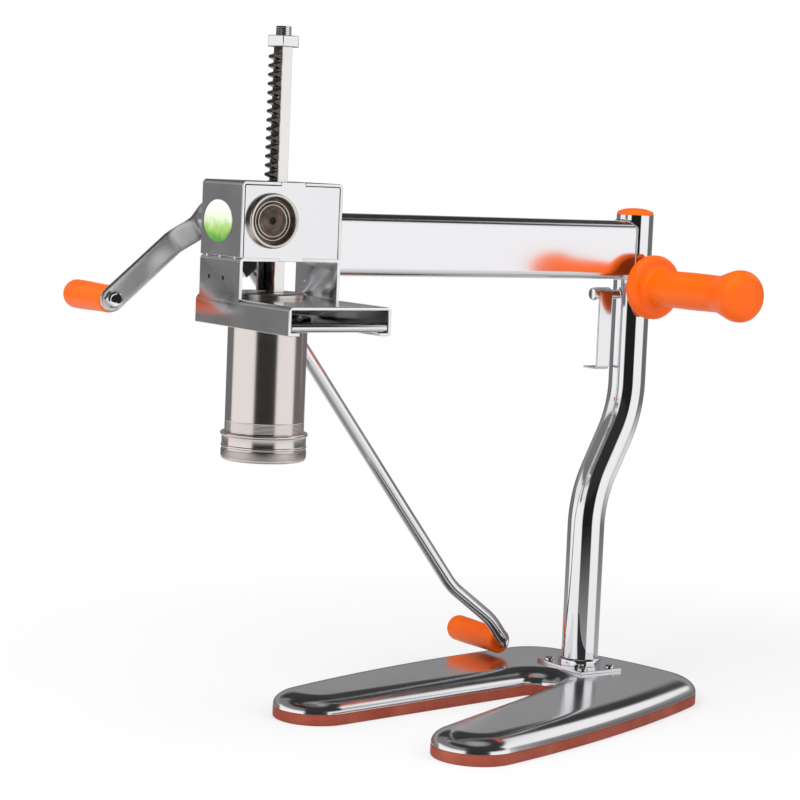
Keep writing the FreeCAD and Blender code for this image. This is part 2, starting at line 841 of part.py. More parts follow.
def folded_sheet(name, bottom, top, corner):
    """Sheet folded into a U that opens downwards, as deep as the box."""
    body = new_body(name)
    section = sketch_on(body, "XZ_Plane", name + "_section", box_front)
    inner_left = box_left + d.gauge
    inner_right = box_right - d.gauge
    draw_loop(section, [
        (box_left, bottom), (inner_left, bottom), (inner_left, top - d.gauge),
        (inner_right, top - d.gauge), (inner_right, bottom), (box_right, bottom), (box_right, top),
        (box_left, top),
    ])
    pad(body, name + "_pad", section, d.box_depth)

    def outer_fold(edge):
        return runs_at(x=box_left, z=top)(edge) or runs_at(x=box_right, z=top)(edge)

    def inner_fold(edge):
        inner_z = top - d.gauge
        return runs_at(x=inner_left, z=inner_z)(edge) or runs_at(x=inner_right, z=inner_z)(edge)

    round_off(body, name + "_outer_fold", corner, outer_fold)
    round_off(body, name + "_inner_fold", corner - d.gauge, inner_fold)
    return body


def make_box_wrap():
    """Top and sides of the gear box, folded from one sheet."""
    shell = folded_sheet("wrap", d.box_bottom, box_top, d.box_corner)
    tools = [rack_slot("wrap_slot", box_top - 5, box_top + 1)]
    tools += tab_notches("wrap_notch", box_top - d.gauge, box_top + 1)
    node("box_wrap", cut("wrap_cut", shell, *tools))


def make_end_plate(name, near, far):
    """Front or back plate with its tabs and the bore for the bearing housing."""
    body = new_body(f"{name}_body")
    outline = sketch_on(body, "XZ_Plane", f"{name}_outline", -near)
    left = box_left + d.gauge
    right = box_right - d.gauge
    clip = d.box_corner - d.gauge
    upper = box_top - d.gauge
    draw_loop(outline, [
        (left, d.box_bottom), (right, d.box_bottom), (right, upper - clip), (right - clip, upper),
        (left + clip, upper), (left, upper - clip),
    ])
    pad(body, f"{name}_pad", outline, d.gauge, back=True)
    tabs = box(f"{name}_tabs", tab_limits(), (near, far), (web_bottom, box_top))
    plate = fuse(f"{name}_whole", body, tabs)
    bore = rod(f"{name}_bore", d.housing_diameter, d.gauge, shaft_x, near, d.shaft_height, TO_BACK)
    node(name, cut(f"{name}_bored", plate, bore))


def make_lower_bracket():
    """Inverted U under the box: its web is the floor of the box and its legs carry the rail."""
    legs_end = d.rail_top - d.rail_corner
    shell = folded_sheet("bracket", legs_end, d.box_bottom, sized(3.5))
    tools = [rack_slot("bracket_slot", web_bottom - 5, d.box_bottom + 1)]
    tools += tab_notches("bracket_notch", web_bottom - 1, d.box_bottom)
    tools.append(rail_blank("bracket_saddle", d.weld_gap))
    node("lower_bracket", cut("bracket_cut", shell, *tools))


def rail_blank(name, grow=0):
    """Outside of the rail as one solid bar, with its two upper corners rounded."""
    body = new_body(name)
    section = sketch_on(body, "XZ_Plane", name + "_section", -rail_back)
    left = box_left - grow
    right = box_right + grow
    top = d.rail_top + grow
    draw_loop(section, [(left, rail_bottom), (right, rail_bottom), (right, top), (left, top)])
    pad(body, name + "_pad", section, rail_back + d.rail_front)

    def upper_corner(edge):
        return runs_at(x=left, z=top)(edge) or runs_at(x=right, z=top)(edge)

    round_off(body, name + "_corners", d.rail_corner + grow, upper_corner)
    return body


def make_rail():
    """Channel with inward lips that holds the drawer plate, open in front and closed behind."""
    inner = (box_left + d.gauge, box_right - d.gauge)
    cavity_top = d.rail_top - d.gauge
    front_end = -d.rail_front - 1
    cavity = box("rail_cavity", inner, (front_end, rail_back - d.gauge), (lip_top, cavity_top))
    slot = box(
        "rail_slot",
        (inner[0] + d.rail_lip, inner[1] - d.rail_lip),
        (front_end, rail_back - d.gauge),
        (rail_bottom - 1, lip_top + 1),
    )
    mouth = rod("rail_mouth", cylinder_bore + d.mouth_play * 2, d.gauge + 2, head_x, 0, cavity_top - 1)
    node("rail_channel", cut("rail_cut", rail_blank("rail"), cavity, slot, mouth))


def make_label():
    """Oval sticker on the left wall of the box."""
    oval = doc.addObject("Part::Ellipse", "label_oval")
    bind(oval, "MajorRadius", d.label_length / 2)
    bind(oval, "MinorRadius", d.label_height / 2)
    oval.Placement = Placement(Vector(), Rotation(Vector(0, 0, 1), 90))
    solid = doc.addObject("Part::Extrusion", "label_solid")
    solid.Base = oval
    solid.DirMode = "Custom"
    solid.Dir = Vector(0, 0, 1)
    bind(solid, "LengthFwd", d.label_thickness)
    solid.Solid = True
    node("label", put(solid, box_left, d.label_shift, d.shaft_height - 2, TO_LEFT))


# Shaft, bearings and gears.

def make_bearing(name, outward, face):
    """Housing tube with an inner lip, and the ball bearing in it; face is the plate's outer face."""
    outer = d.housing_diameter / 2
    seat = d.bearing_diameter / 2
    recess_end = d.bearing_recess + d.bearing_width
    lip_end = recess_end + d.housing_lip
    housing = turned(f"{name}_housing", [
        (seat, 0), (outer, 0), (outer, lip_end), (seat - 3, lip_end), (seat - 3, recess_end),
        (seat, recess_end),
    ])
    facing = TO_BACK if outward < 0 else TO_FRONT
    start = face + d.housing_rise * outward
    node(f"{name}_housing", put(housing, shaft_x, start, d.shaft_height, facing))
    bore = d.shaft_diameter / 2 + d.shaft_play
    groove = 0.8
    bearing = turned(f"{name}_bearing", [
        (bore, 0), (bore + 2.6, 0), (bore + 2.6, groove), (seat - 3.4, groove), (seat - 3.4, 0),
        (seat, 0), (seat, d.bearing_width), (bore, d.bearing_width),
    ])
    seat_start = start - d.bearing_recess * outward
    node(f"{name}_bearing", put(bearing, shaft_x, seat_start, d.shaft_height, facing))


def involute_spot(base_radius, roll, turn):
    """A point of the curve that a taut thread draws off a circle, turned to its place."""
    angle = turn + roll
    return Vector(
        base_radius * (math.cos(angle) + roll * math.sin(angle)),
        base_radius * (math.sin(angle) - roll * math.cos(angle)),
        0,
    )


def draw_pinion_tooth(sketch):
    """One involute tooth with a radial foot, half a tooth step round from the sketch's X axis."""
    pitch = pitch_radius.value
    base_radius = pitch * math.cos(math.radians(d.pressure_angle.value))
    tip = pitch + d.gear_module.value * 0.95
    foot = pitch - d.gear_module.value * 1.25 - 0.4
    half_tooth = (tooth_pitch.value / 2 - d.tooth_play.value / 2) / 2 / pitch
    pitch_roll = math.tan(math.radians(d.pressure_angle.value))
    turn = -half_tooth - pitch_roll + math.radians(d.pressure_angle.value)
    last_roll = math.sqrt((tip / base_radius) ** 2 - 1)
    flank = [involute_spot(base_radius, last_roll * step / 5, turn) for step in range(6)]
    flank.insert(0, Vector(foot * math.cos(turn), foot * math.sin(turn), 0))
    flank += [Vector(spot.x, -spot.y, 0) for spot in reversed(flank)]
    swing = Rotation(Vector(0, 0, 1), 180 / d.pinion_teeth.value)
    spots = [swing.multVec(spot) for spot in flank]
    for start, end in zip(spots, spots[1:] + spots[:1]):
        sketch.addGeometry(Part.LineSegment(start, end), False)
    for i in range(len(spots)):
        follower = (i + 1) % len(spots)
        sketch.addConstraint(Sketcher.Constraint("Coincident", i, 2, follower, 1))


def make_pinion():
    """Spur pinion on the middle of the shaft; a gap faces the rack at rest."""
    body = new_body("pinion_body")
    hub = sketch_on(body, "XY_Plane", "pinion_hub", -d.pinion_width / 2)
    draw_circle(hub, 0, 0, (pitch_radius - d.gear_module * 1.25) * 2)
    draw_circle(hub, 0, 0, d.shaft_diameter)
    pad(body, "pinion_core", hub, d.pinion_width)
    tooth = sketch_on(body, "XY_Plane", "pinion_tooth", -d.pinion_width / 2)
    draw_pinion_tooth(tooth)
    first = pad(body, "pinion_first_tooth", tooth, d.pinion_width)
    around = body.newObject("PartDesign::PolarPattern", "pinion_teeth")
    around.Originals = [first]
    around.Axis = (hub, ["N_Axis"])
    around.Angle = 360
    bind(around, "Occurrences", d.pinion_teeth)
    body.Tip = around
    node("pinion", put(body, shaft_x, 0, d.shaft_height, TO_BACK))


def tooth_half(width_at_pitch, out):
    """Half thickness of a rack tooth at a distance outside its pitch line."""
    slope = math.tan(math.radians(d.pressure_angle.value))
    return width_at_pitch / 2 - out * slope


def make_rack():
    """Toothed bar: smooth below, teeth towards -X above, with a threaded end."""
    body = new_body("rack_body")
    core = sketch_on(body, "XY_Plane", "rack_core", d.rack_foot_height)
    half = d.rack_width / 2
    draw_loop(core, [(rack_root, -half), (rack_back, -half), (rack_back, half), (rack_root, half)])
    pad(body, "rack_bar", core, d.rack_neck_height - d.rack_foot_height)
    tooth = sketch_on(body, "XZ_Plane", "rack_tooth", -half)
    lowest = d.shaft_height - tooth_pitch * d.rack_teeth_below
    width = tooth_pitch / 2 - d.tooth_play / 2
    tip_half = tooth_half(width, rack_addendum)
    root_half = tooth_half(width, -rack_dedendum - 0.2)
    draw_loop(tooth, [
        (rack_root + 0.2, lowest - root_half), (rack_root + 0.2, lowest + root_half),
        (rack_tip, lowest + tip_half), (rack_tip, lowest - tip_half),
    ])
    first = pad(body, "rack_first_tooth", tooth, d.rack_width)
    rows = body.newObject("PartDesign::LinearPattern", "rack_teeth")
    rows.Originals = [first]
    rows.Direction = (tooth, ["V_Axis"])
    count = d.rack_teeth_above + d.rack_teeth_below + 1
    bind(rows, "Length", tooth_pitch * (count - 1))
    bind(rows, "Occurrences", count)
    body.Tip = rows
    stud = rod("rack_stud", d.stud_diameter, d.stud_length, rack_core_x, 0, d.rack_neck_height)
    hole = rod("rack_hole", d.piston_screw_diameter, 15, rack_core_x, 0, d.rack_foot_height)
    node("rack_bar", cut("rack_drilled", fuse("rack_whole", body, stud), hole))

    blank = put(hexagon("nut_blank", d.nut_flats, d.nut_thickness), rack_core_x, 0, d.rack_neck_height)
    thread = rod("nut_bore", d.stud_diameter + d.weld_gap * 2, d.nut_thickness, rack_core_x, 0,
                 d.rack_neck_height)
    node("rack_nut", cut("nut_bored", blank, thread))


def make_rack_guides():
    """Block behind the rack in the box, and the strip below the box that the rack runs along."""
    gap = d.guide_gap
    cheek = d.rack_width / 2 + gap
    body = new_body("guide_body")
    middle = d.shaft_height - d.guide_height / 2
    plan = sketch_on(body, "XY_Plane", "guide_plan", middle)
    wall_front = rack_back + gap
    wall_back = wall_front + d.guide_wall
    cheek_front = rack_root + 1
    inner_front = box_front + d.gauge
    inner_back = box_back - d.gauge
    draw_loop(plan, [
        (wall_back, inner_front), (wall_back, inner_back), (wall_front, inner_back),
        (wall_front, cheek + d.guide_cheek), (cheek_front, cheek + d.guide_cheek),
        (cheek_front, cheek), (wall_front, cheek), (wall_front, -cheek), (cheek_front, -cheek),
        (cheek_front, -cheek - d.guide_cheek), (wall_front, -cheek - d.guide_cheek),
        (wall_front, inner_front),
    ])
    pad(body, "guide_pad", plan, d.guide_height)
    node("rack_guide", body)

    strip_left = rack_tip - 1.5
    strip_right = strip_left + d.strip_width
    margin = d.rack_slot_margin
    strip_y = d.rack_width / 2 + margin
    strip = box("strip_leg", (strip_left, strip_right), (strip_y, strip_y + d.gauge),
                (web_bottom - d.strip_drop, web_bottom))
    foot = box("strip_foot", (strip_left, strip_right), (strip_y, strip_y + 16),
               (web_bottom - d.gauge, web_bottom))
    node("guide_strip", fuse("strip_whole", strip, foot))


def make_piston():
    """Disc on the foot of the rack, held by a countersunk screw from below."""
    rim = cylinder_bore / 2 - d.piston_play
    disc = turned("piston_blank", [
        (0, 0), (rim - 1, 0), (rim, 1), (rim, d.piston_thickness - 1), (rim - 1, d.piston_thickness),
        (0, d.piston_thickness),
    ])
    bottom = d.rack_foot_height - d.piston_thickness
    put(disc, head_x, 0, bottom)
    head = d.piston_screw_head / 2
    shank = d.piston_screw_diameter / 2
    length = d.piston_thickness + 12
    profile = [(0, 0), (head, 0), (shank, head - shank), (shank, length), (0, length)]
    screw = put(turned("piston_screw_body", profile), rack_core_x, 0, bottom)
    tool = put(turned("piston_screw_hole", profile), rack_core_x, 0, bottom)
    node("piston_disc", cut("piston_drilled", disc, tool))
    node("piston_screw", screw)


def make_cylinder():
    """Cylinder with a rim, the drawer plate that it hangs in, the screw ring and the die."""
    outer = d.cylinder_diameter / 2
    inner = cylinder_bore / 2
    rim = outer + d.cylinder_rim
    rim_top = drawer_top + d.cylinder_rim_thickness
    tube = turned("cylinder_body", [
        (inner, d.cylinder_bottom), (outer, d.cylinder_bottom), (outer, drawer_top),
        (rim, drawer_top), (rim, rim_top), (inner, rim_top),
    ])
    node("cylinder_tube", put(tube, x=head_x))

    sides = (box_left + d.gauge + d.drawer_play, box_right - d.gauge - d.drawer_play)
    rear = rail_back - d.gauge - d.drawer_play
    sheet_metal = box("drawer_sheet", sides, (-d.rail_front, rear), (drawer_bottom, drawer_top))
    bar_height = d.drawer_bar_height
    bar = new_body("drawer_bar")
    section = sketch_on(bar, "YZ_Plane", "bar_section", sides[0])
    draw_loop(section, [
        (-d.rail_front, drawer_bottom), (-d.rail_front + bar_height, drawer_bottom),
        (-d.rail_front + bar_height, drawer_bottom + bar_height),
        (-d.rail_front, drawer_bottom + bar_height),
    ])
    pad(bar, "bar_pad", section, sides[1] - sides[0])

    def upper_edges(edge):
        level = runs_at(z=drawer_bottom + bar_height)(edge)
        return level and abs(edge.tangentAt(edge.FirstParameter).x) > 0.99

    round_off(bar, "bar_round", bar_height * 0.45, upper_edges)
    hole = rod("drawer_hole", d.cylinder_diameter, d.drawer_thickness, head_x, 0, drawer_bottom)
    node("drawer_plate", cut("drawer_cut", fuse("drawer_whole", sheet_metal, bar), hole))


def ring_bottom():
    return d.cylinder_bottom - 0.3 - d.die_thickness - d.ring_lip_thickness


def make_screw_ring():
    """Knurled cap ring that screws onto the cylinder and carries the die on its lip."""
    outer = d.cylinder_diameter / 2 + d.ring_wall
    bore = d.cylinder_diameter / 2 + d.ring_play
    lip = bore - d.ring_lip
    top = d.ring_height
    bead = d.ring_bead
    profile = [
        (lip, 0), (outer - 2, 0), (outer, 2.5), (outer, top * 0.40), (outer - bead, top * 0.40 + bead),
        (outer - bead, top * 0.47), (outer, top * 0.47 + bead), (outer, top - 3.4),
        (outer + bead, top - 2.6), (outer + bead, top - 0.8), (outer, top), (bore, top),
        (bore, d.ring_lip_thickness), (lip, d.ring_lip_thickness),
    ]
    ring = turned("screw_ring_body", profile)
    node("screw_ring", put(ring, x=head_x, z=ring_bottom()))

    blank = rod("die_blank", (bore - 0.3) * 2, d.die_thickness)
    holes = []
    for row in (0, 1, 2):
        count = 6 * row if row else 1
        reach = d.die_hole_spacing * row
        for step in range(count):
            angle = 2 * math.pi * step / count
            holes.append(rod(f"die_hole_{row}_{step}", d.die_hole_diameter, d.die_thickness,
                             reach * math.cos(angle), reach * math.sin(angle)))
    die = cut("die_drilled", blank, *holes)
    node("die_disc", put(die, x=head_x, z=ring_bottom() + d.ring_lip_thickness))


def square_hole(name, start, end):
    """Square opening on the axis of the shaft."""
    half = d.square_size / 2
    return box(name, (shaft_x - half, shaft_x + half), (start, end),
               (d.shaft_height - half, d.shaft_height + half))


def make_shaft():
    """Shaft with its round journal, squared end and thread, and the spacer behind the box."""
    front = box_front - d.housing_rise + d.bearing_recess + 0.5
    square_end = d.crank_hub_plane + d.crank_gauge
    journal = rod("journal", d.shaft_diameter, journal_end - front, shaft_x, front, d.shaft_height,
                  TO_BACK)
    square = square_hole("square", journal_end - 1, square_end)
    thread = rod("shaft_thread", d.shaft_thread_diameter, d.shaft_nut_thickness + 3, shaft_x,
                 square_end, d.shaft_height, TO_BACK)
    dimple = rod("shaft_dimple", 4, 2, shaft_x, front, d.shaft_height, TO_BACK)
    node("pinion_shaft", cut("shaft_drilled", fuse("shaft_whole", journal, square, thread), dimple))

    start = box_back + d.housing_rise + d.side_gap
    length = d.lever_plane - d.lever_hub_length / 2 - d.side_gap - start
    sleeve = rod("spacer_blank", d.spacer_diameter, length, shaft_x, start, d.shaft_height, TO_BACK)
    bore = rod("spacer_bore", d.shaft_diameter, length, shaft_x, start, d.shaft_height, TO_BACK)
    node("shaft_spacer", cut("spacer_bored", sleeve, bore))


def make_handle(name, length, bore, slim, wide, bore_depth):
    """Handle that widens towards its rounded, closed end and runs on a pin."""
    return turned(name, [
        (bore, 0), (slim - 1.5, 0), (slim, 1.5), (slim, length * 0.2), (wide, length * 0.75),
        (wide, length), (0, length), (0, bore_depth), (bore, bore_depth),
    ], [
        (wide, length, wide * 0.6),
    ])


def on_crank(item, along, y, facing=TO_BACK):
    """Place a piece on the arm of the short crank, at a distance from the shaft."""
    x = shaft_x + along * cosine(d.crank_turn)
    z = d.shaft_height - along * sine(d.crank_turn)
    return put(item, x, y, z, facing)


def make_crank():
    """Short crank: round boss, stepped flat arm, nut, bolt and turning handle."""
    boss_start = d.crank_hub_plane - d.crank_boss_length
    hub_far = d.crank_hub_plane + d.crank_gauge
    arm_far = d.crank_plane + d.crank_gauge
    boss = rod("crank_boss_blank", d.crank_boss_diameter, d.crank_boss_length, shaft_x, boss_start,
               d.shaft_height, TO_BACK)
    node("crank_boss", cut("crank_boss_squared", boss, square_hole("boss_square", boss_start, hub_far)))

    body = new_body("arm_body")
    side = sketch_on(body, "XY_Plane", "arm_side", -d.crank_width / 2)
    end = d.crank_length + d.crank_width / 2
    draw_loop(side, [
        (0, d.crank_hub_plane), (d.crank_step_start, d.crank_hub_plane),
        (d.crank_step_end, d.crank_plane), (end, d.crank_plane), (end, arm_far),
        (d.crank_step_end - 1, arm_far), (d.crank_step_start - 1, hub_far), (0, hub_far),
    ])
    pad(body, "arm_pad", side, d.crank_width)

    def end_corners(edge):
        return runs_at(x=end)(edge) and abs(edge.tangentAt(edge.FirstParameter).y) > 0.99

    round_off(body, "arm_end", d.crank_width * 0.49, end_corners)
    put(body, shaft_x, 0, d.shaft_height, TO_RIGHT, d.crank_turn)
    disc = rod("arm_hub", d.crank_hub_diameter, d.crank_gauge, shaft_x, d.crank_hub_plane,
               d.shaft_height, TO_BACK)
    hole = on_crank(rod("arm_hole", d.bolt_diameter, d.crank_gauge), d.crank_length, d.crank_plane)
    square = square_hole("arm_square", d.crank_hub_plane, hub_far)
    node("crank_arm", cut("arm_drilled", fuse("arm_whole", body, disc), hole, square))

    nut = put(hexagon("shaft_nut_blank", d.shaft_nut_flats, d.shaft_nut_thickness), shaft_x, hub_far,
              d.shaft_height, TO_BACK)
    bore = rod("shaft_nut_bore", d.shaft_thread_diameter, d.shaft_nut_thickness, shaft_x, hub_far,
               d.shaft_height, TO_BACK)
    node("shaft_nut", cut("shaft_nut_bored", nut, bore))

    depth = d.handle_length - 12
    shank = rod("bolt_shank", d.bolt_diameter, d.crank_gauge + d.handle_gap + depth - 2)
    head_radius = d.bolt_head_flats / math.sqrt(3)
    dome = turned("bolt_dome", [
        (0, -d.bolt_head_height), (head_radius, -d.bolt_head_height), (head_radius, 0), (0, 0),
    ], [
        (head_radius, -d.bolt_head_height, d.bolt_head_height * 0.6),
    ])
    head = hexagon("bolt_hexagon", d.bolt_head_flats, d.bolt_head_height)
    put(head, z=-d.bolt_head_height)
    shaped = doc.addObject("Part::MultiCommon", "bolt_head")
    shaped.Shapes = [dome, head]
    bolt = fuse("bolt_whole", shank, shaped)
    node("crank_bolt", on_crank(bolt, d.crank_length, d.crank_plane))

    grip = make_handle("crank_grip", d.handle_length, d.bolt_diameter / 2 + d.bolt_play,
                       d.handle_slim_diameter / 2, d.handle_wide_diameter / 2, depth)
    node("crank_handle", on_crank(grip, d.crank_length, arm_far + d.handle_gap))


def lever_path():
    """Corners of the centre line of the lever's rod: straight, a sideways step, straight."""
    rise = d.lever_bend_radius * sine(d.lever_bend_angle)
    shift = d.lever_bend_radius * (1 - cosine(d.lever_bend_angle))
    straight = (d.lever_bend_step - shift * 2) / sine(d.lever_bend_angle)
    first = (d.lever_bend_start, sized(0))
    second = (first[0] + rise, shift)
    third = (second[0] + straight * cosine(d.lever_bend_angle),
             second[1] + straight * sine(d.lever_bend_angle))
    fourth = (third[0] + rise, d.lever_bend_step)
    return [(d.lever_plate_reach, sized(0)), first, second, third, fourth,
            (d.lever_reach, d.lever_bend_step)]


def make_lever():
    """Long lever: hub plate on the shaft, bent round rod and a turning handle on its end."""
    body = new_body("lever_hub_body")
    plan = sketch_on(body, "XZ_Plane", "lever_plan", -d.lever_plane - d.lever_hub_length / 2)
    half = d.lever_plate_width / 2
    draw_loop(plan, [(0, -half), (d.lever_plate_reach, -half), (d.lever_plate_reach, half), (0, half)])
    pad(body, "lever_plate", plan, d.lever_hub_length)
    put(body, shaft_x, 0, d.shaft_height, TO_RIGHT, d.lever_turn)
    hub_start = d.lever_plane - d.lever_hub_length / 2
    disc = rod("lever_disc", d.lever_hub_diameter, d.lever_hub_length, shaft_x, hub_start,
               d.shaft_height, TO_BACK)
    bore = rod("lever_bore", d.shaft_diameter + d.lever_play * 2, d.lever_hub_length, shaft_x,
               hub_start, d.shaft_height, TO_BACK)
    node("lever_hub", cut("lever_bored", fuse("lever_whole", body, disc), bore))

    arm = new_body("lever_rod_body")
    spine = sketch_on(arm, "XZ_Plane", "lever_line", -d.lever_plane)
    radii = (d.lever_bend_radius, d.lever_bend_radius)
    draw_bent_line(spine, lever_path(), radii, (-1, 1))
    section = sketch_on(arm, "YZ_Plane", "lever_section", d.lever_plate_reach)
    draw_circle(section, d.lever_plane, 0, d.lever_rod_diameter)
    doc.recompute()
    pipe = feature(arm, "AdditivePipe", "lever_sweep", section)
    pipe.Spine = (spine, [f"Edge{i}" for i in range(1, 6)])
    ball = doc.addObject("Part::Sphere", "lever_ball")
    bind(ball, "Radius", d.lever_rod_diameter / 2)
    put(ball, d.lever_reach, d.lever_plane, d.lever_bend_step)
    stub_end = d.lever_handle_start - d.handle_gap
    stub = rod("lever_stub", d.lever_rod_diameter, stub_end - d.lever_plane, d.lever_reach,
               d.lever_plane, d.lever_bend_step, TO_BACK)
    depth = d.lever_handle_length - 12
    pin_end = d.lever_handle_start + depth - 2
    pin_bar = rod("lever_pin", d.lever_pin_diameter, pin_end - d.lever_plane, d.lever_reach,
                  d.lever_plane, d.lever_bend_step, TO_BACK)
    rod_whole = fuse("lever_rod_whole", arm, ball, stub, pin_bar)
    node("lever_rod", put(rod_whole, shaft_x, 0, d.shaft_height, TO_RIGHT, d.lever_turn))

    grip = make_handle("lever_grip", d.lever_handle_length, d.lever_pin_diameter / 2 + d.bolt_play,
                       d.lever_handle_diameter / 2 - 0.7, d.lever_handle_diameter / 2, depth)
    cos_turn = cosine(d.lever_turn)
    sin_turn = sine(d.lever_turn)
    x = shaft_x + d.lever_reach * cos_turn + d.lever_bend_step * sin_turn
    z = d.shaft_height - d.lever_reach * sin_turn + d.lever_bend_step * cos_turn
    node("lever_handle", put(grip, x, d.lever_handle_start, z, TO_BACK))


make_base_rubber()
make_base_plate()
make_flange()
make_post()
make_beam()
make_hand_grip()
make_hook()
make_box_wrap()
make_end_plate("front_plate", box_front, box_front + d.gauge)
make_end_plate("back_plate", box_back - d.gauge, box_back)
make_lower_bracket()
make_rail()
make_label()
make_bearing("front", -1, box_front)
make_bearing("back", 1, box_back)
make_shaft()
make_pinion()
make_rack()
make_rack_guides()
make_piston()
make_cylinder()
make_screw_ring()
make_crank()
make_lever()

doc.recompute()
for item in doc.Objects:
    assert "Invalid" not in item.State and "Error" not in item.State, item.Name
for name, item in nodes.items():
    assert not item.Shape.isNull() and item.Shape.isValid(), name
os.makedirs("parts", exist_ok=True)
for name, item in nodes.items():
    item.Shape.exportStep(f"parts/{name}.step")
print(len(nodes), "sub-parts written")
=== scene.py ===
import math

import bmesh
import bpy
import numpy as np
from mathutils import Matrix, Vector


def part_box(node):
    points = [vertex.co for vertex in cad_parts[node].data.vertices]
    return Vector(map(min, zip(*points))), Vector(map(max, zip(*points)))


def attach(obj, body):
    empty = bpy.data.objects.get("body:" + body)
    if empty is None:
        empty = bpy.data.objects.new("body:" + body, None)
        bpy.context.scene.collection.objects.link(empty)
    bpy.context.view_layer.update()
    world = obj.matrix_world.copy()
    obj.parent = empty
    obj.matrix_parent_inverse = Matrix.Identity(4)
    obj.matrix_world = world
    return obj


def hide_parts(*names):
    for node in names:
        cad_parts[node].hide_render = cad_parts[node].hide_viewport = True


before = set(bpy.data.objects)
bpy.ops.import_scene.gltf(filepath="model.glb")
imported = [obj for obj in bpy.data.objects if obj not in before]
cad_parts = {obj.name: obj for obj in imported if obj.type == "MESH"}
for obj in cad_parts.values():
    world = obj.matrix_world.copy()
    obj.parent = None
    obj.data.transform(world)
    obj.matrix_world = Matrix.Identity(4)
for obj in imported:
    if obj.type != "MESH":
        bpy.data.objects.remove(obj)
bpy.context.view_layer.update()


# Camera
# The press is seen a little from above, from the front left, through a long lens. The camera leans
# by two degrees.

view_azimuth = math.radians(-32.95)
view_rise = math.radians(5.74)
view_roll = math.radians(-2.39)
view_target = Vector((-0.1987, 0.0, 0.2607))
view_distance = 1.935
view_back = Vector((math.sin(view_azimuth) * math.cos(view_rise),
                    -math.cos(view_azimuth) * math.cos(view_rise),
                    math.sin(view_rise)))
level_right = Vector((math.cos(view_azimuth), math.sin(view_azimuth), 0))
level_up = view_back.cross(level_right)
view_right = level_right * math.cos(view_roll) - level_up * math.sin(view_roll)
view_up = level_right * math.sin(view_roll) + level_up * math.cos(view_roll)
camera_data = bpy.data.cameras.new("camera")
camera_data.sensor_width = 36
camera_data.lens = 105.88
camera_data.clip_end = 50
camera = bpy.data.objects.new("camera", camera_data)
camera.matrix_world = (Matrix.Translation(view_target + view_back * view_distance)
                       @ Matrix((view_right, view_up, view_back)).transposed().to_4x4())
bpy.context.scene.collection.objects.link(camera)
bpy.context.scene.camera = camera


# Rubber tray
# The press stands on a moulded tray of brick red rubber, which is glued under the rim of the
# base plate and shows as a band all round.

def soft_corners(corners, radii, steps=8, closed=False):
    """A line through the corners in which each corner gives way to an arc of its radius. The arc's
    middle lies on the line that halves the corner, at radius over the sine of the half angle."""
    corners = [np.array(corner, float) for corner in corners]
    line = []
    for i, (corner, radius) in enumerate(zip(corners, radii)):
        if radius == 0 or (not closed and i in (0, len(corners) - 1)):
            line.append(corner[None])
            continue
        back = corners[i - 1] - corner
        ahead = corners[(i + 1) % len(corners)] - corner
        back = back / np.linalg.norm(back)
        ahead = ahead / np.linalg.norm(ahead)
        half = math.acos(np.clip(back @ ahead, -1, 1)) / 2
        turn = math.pi - 2 * half
        middle = corner + (back + ahead) / np.linalg.norm(back + ahead) * radius / math.sin(half)
        start = corner + back * radius / math.tan(half) - middle
        end = corner + ahead * radius / math.tan(half) - middle
        part = np.linspace(0, 1, steps + 1)[:, None]
        line.append(middle + (np.sin((1 - part) * turn) * start + np.sin(part * turn) * end) / math.sin(turn))
    return np.concatenate(line)


def fork_outline(inset):
    """Outline of the forked base, moved inwards: circles at the heel, the lobe tips and the notch,
    each left where the next arc or line touches it. Points go round anticlockwise."""
    heel = np.array([14.0, 56.0])
    tip = np.array([-250.0, 84.0])
    notch = np.array([-60.0, 0.0])
    heel_r = 48 - inset
    tip_r = 35.5 - inset
    notch_r = 18 + inset
    side_r = 1200 - inset
    rear_r = 360 - inset
    rear = np.array([heel[0] - math.sqrt((rear_r - heel_r) ** 2 - heel[1] ** 2), 0])
    run = tip - heel
    length = np.linalg.norm(run)
    along = ((side_r - heel_r) ** 2 - (side_r - tip_r) ** 2 + length ** 2) / (2 * length)
    across = math.sqrt((side_r - heel_r) ** 2 - along ** 2)
    unit = run / length
    side = heel + unit * along + np.array([-unit[1], unit[0]]) * across
    rear_turn = math.atan2(heel[1], heel[0] - rear[0])
    heel_turn = math.atan2(heel[1] - side[1], heel[0] - side[0])
    tip_turn = math.atan2(tip[1] - side[1], tip[0] - side[0])
    run = tip - notch
    normal = math.atan2(run[1], run[0]) - math.acos((tip_r + notch_r) / np.linalg.norm(run))

    def arc(centre, radius, start, end, steps):
        """Points of a circle from one angle to another, at even steps."""
        angle = np.linspace(start, end, steps)[:, None]
        return centre + radius * np.concatenate([np.cos(angle), np.sin(angle)], axis=1)

    upper = np.concatenate([
        arc(rear, rear_r, 0, rear_turn, 14)[:-1],
        arc(heel, heel_r, rear_turn, heel_turn, 22)[:-1],
        arc(side, side_r, heel_turn, tip_turn, 26)[:-1],
        arc(tip, tip_r, tip_turn, normal + math.pi, 34),
        arc(notch, notch_r, normal, 0, 16),
    ])
    return np.concatenate([upper, upper[-2:0:-1] * (1, -1)])


def turned_base(outline, height):
    """The outline at a height, turned 17 degrees about the post's axis, anticlockwise from above."""
    turn = math.radians(17)
    x = outline[:, 0] * math.cos(turn) - outline[:, 1] * math.sin(turn)
    y = outline[:, 0] * math.sin(turn) + outline[:, 1] * math.cos(turn)
    return np.stack([x, y, np.full_like(x, height)], axis=-1)


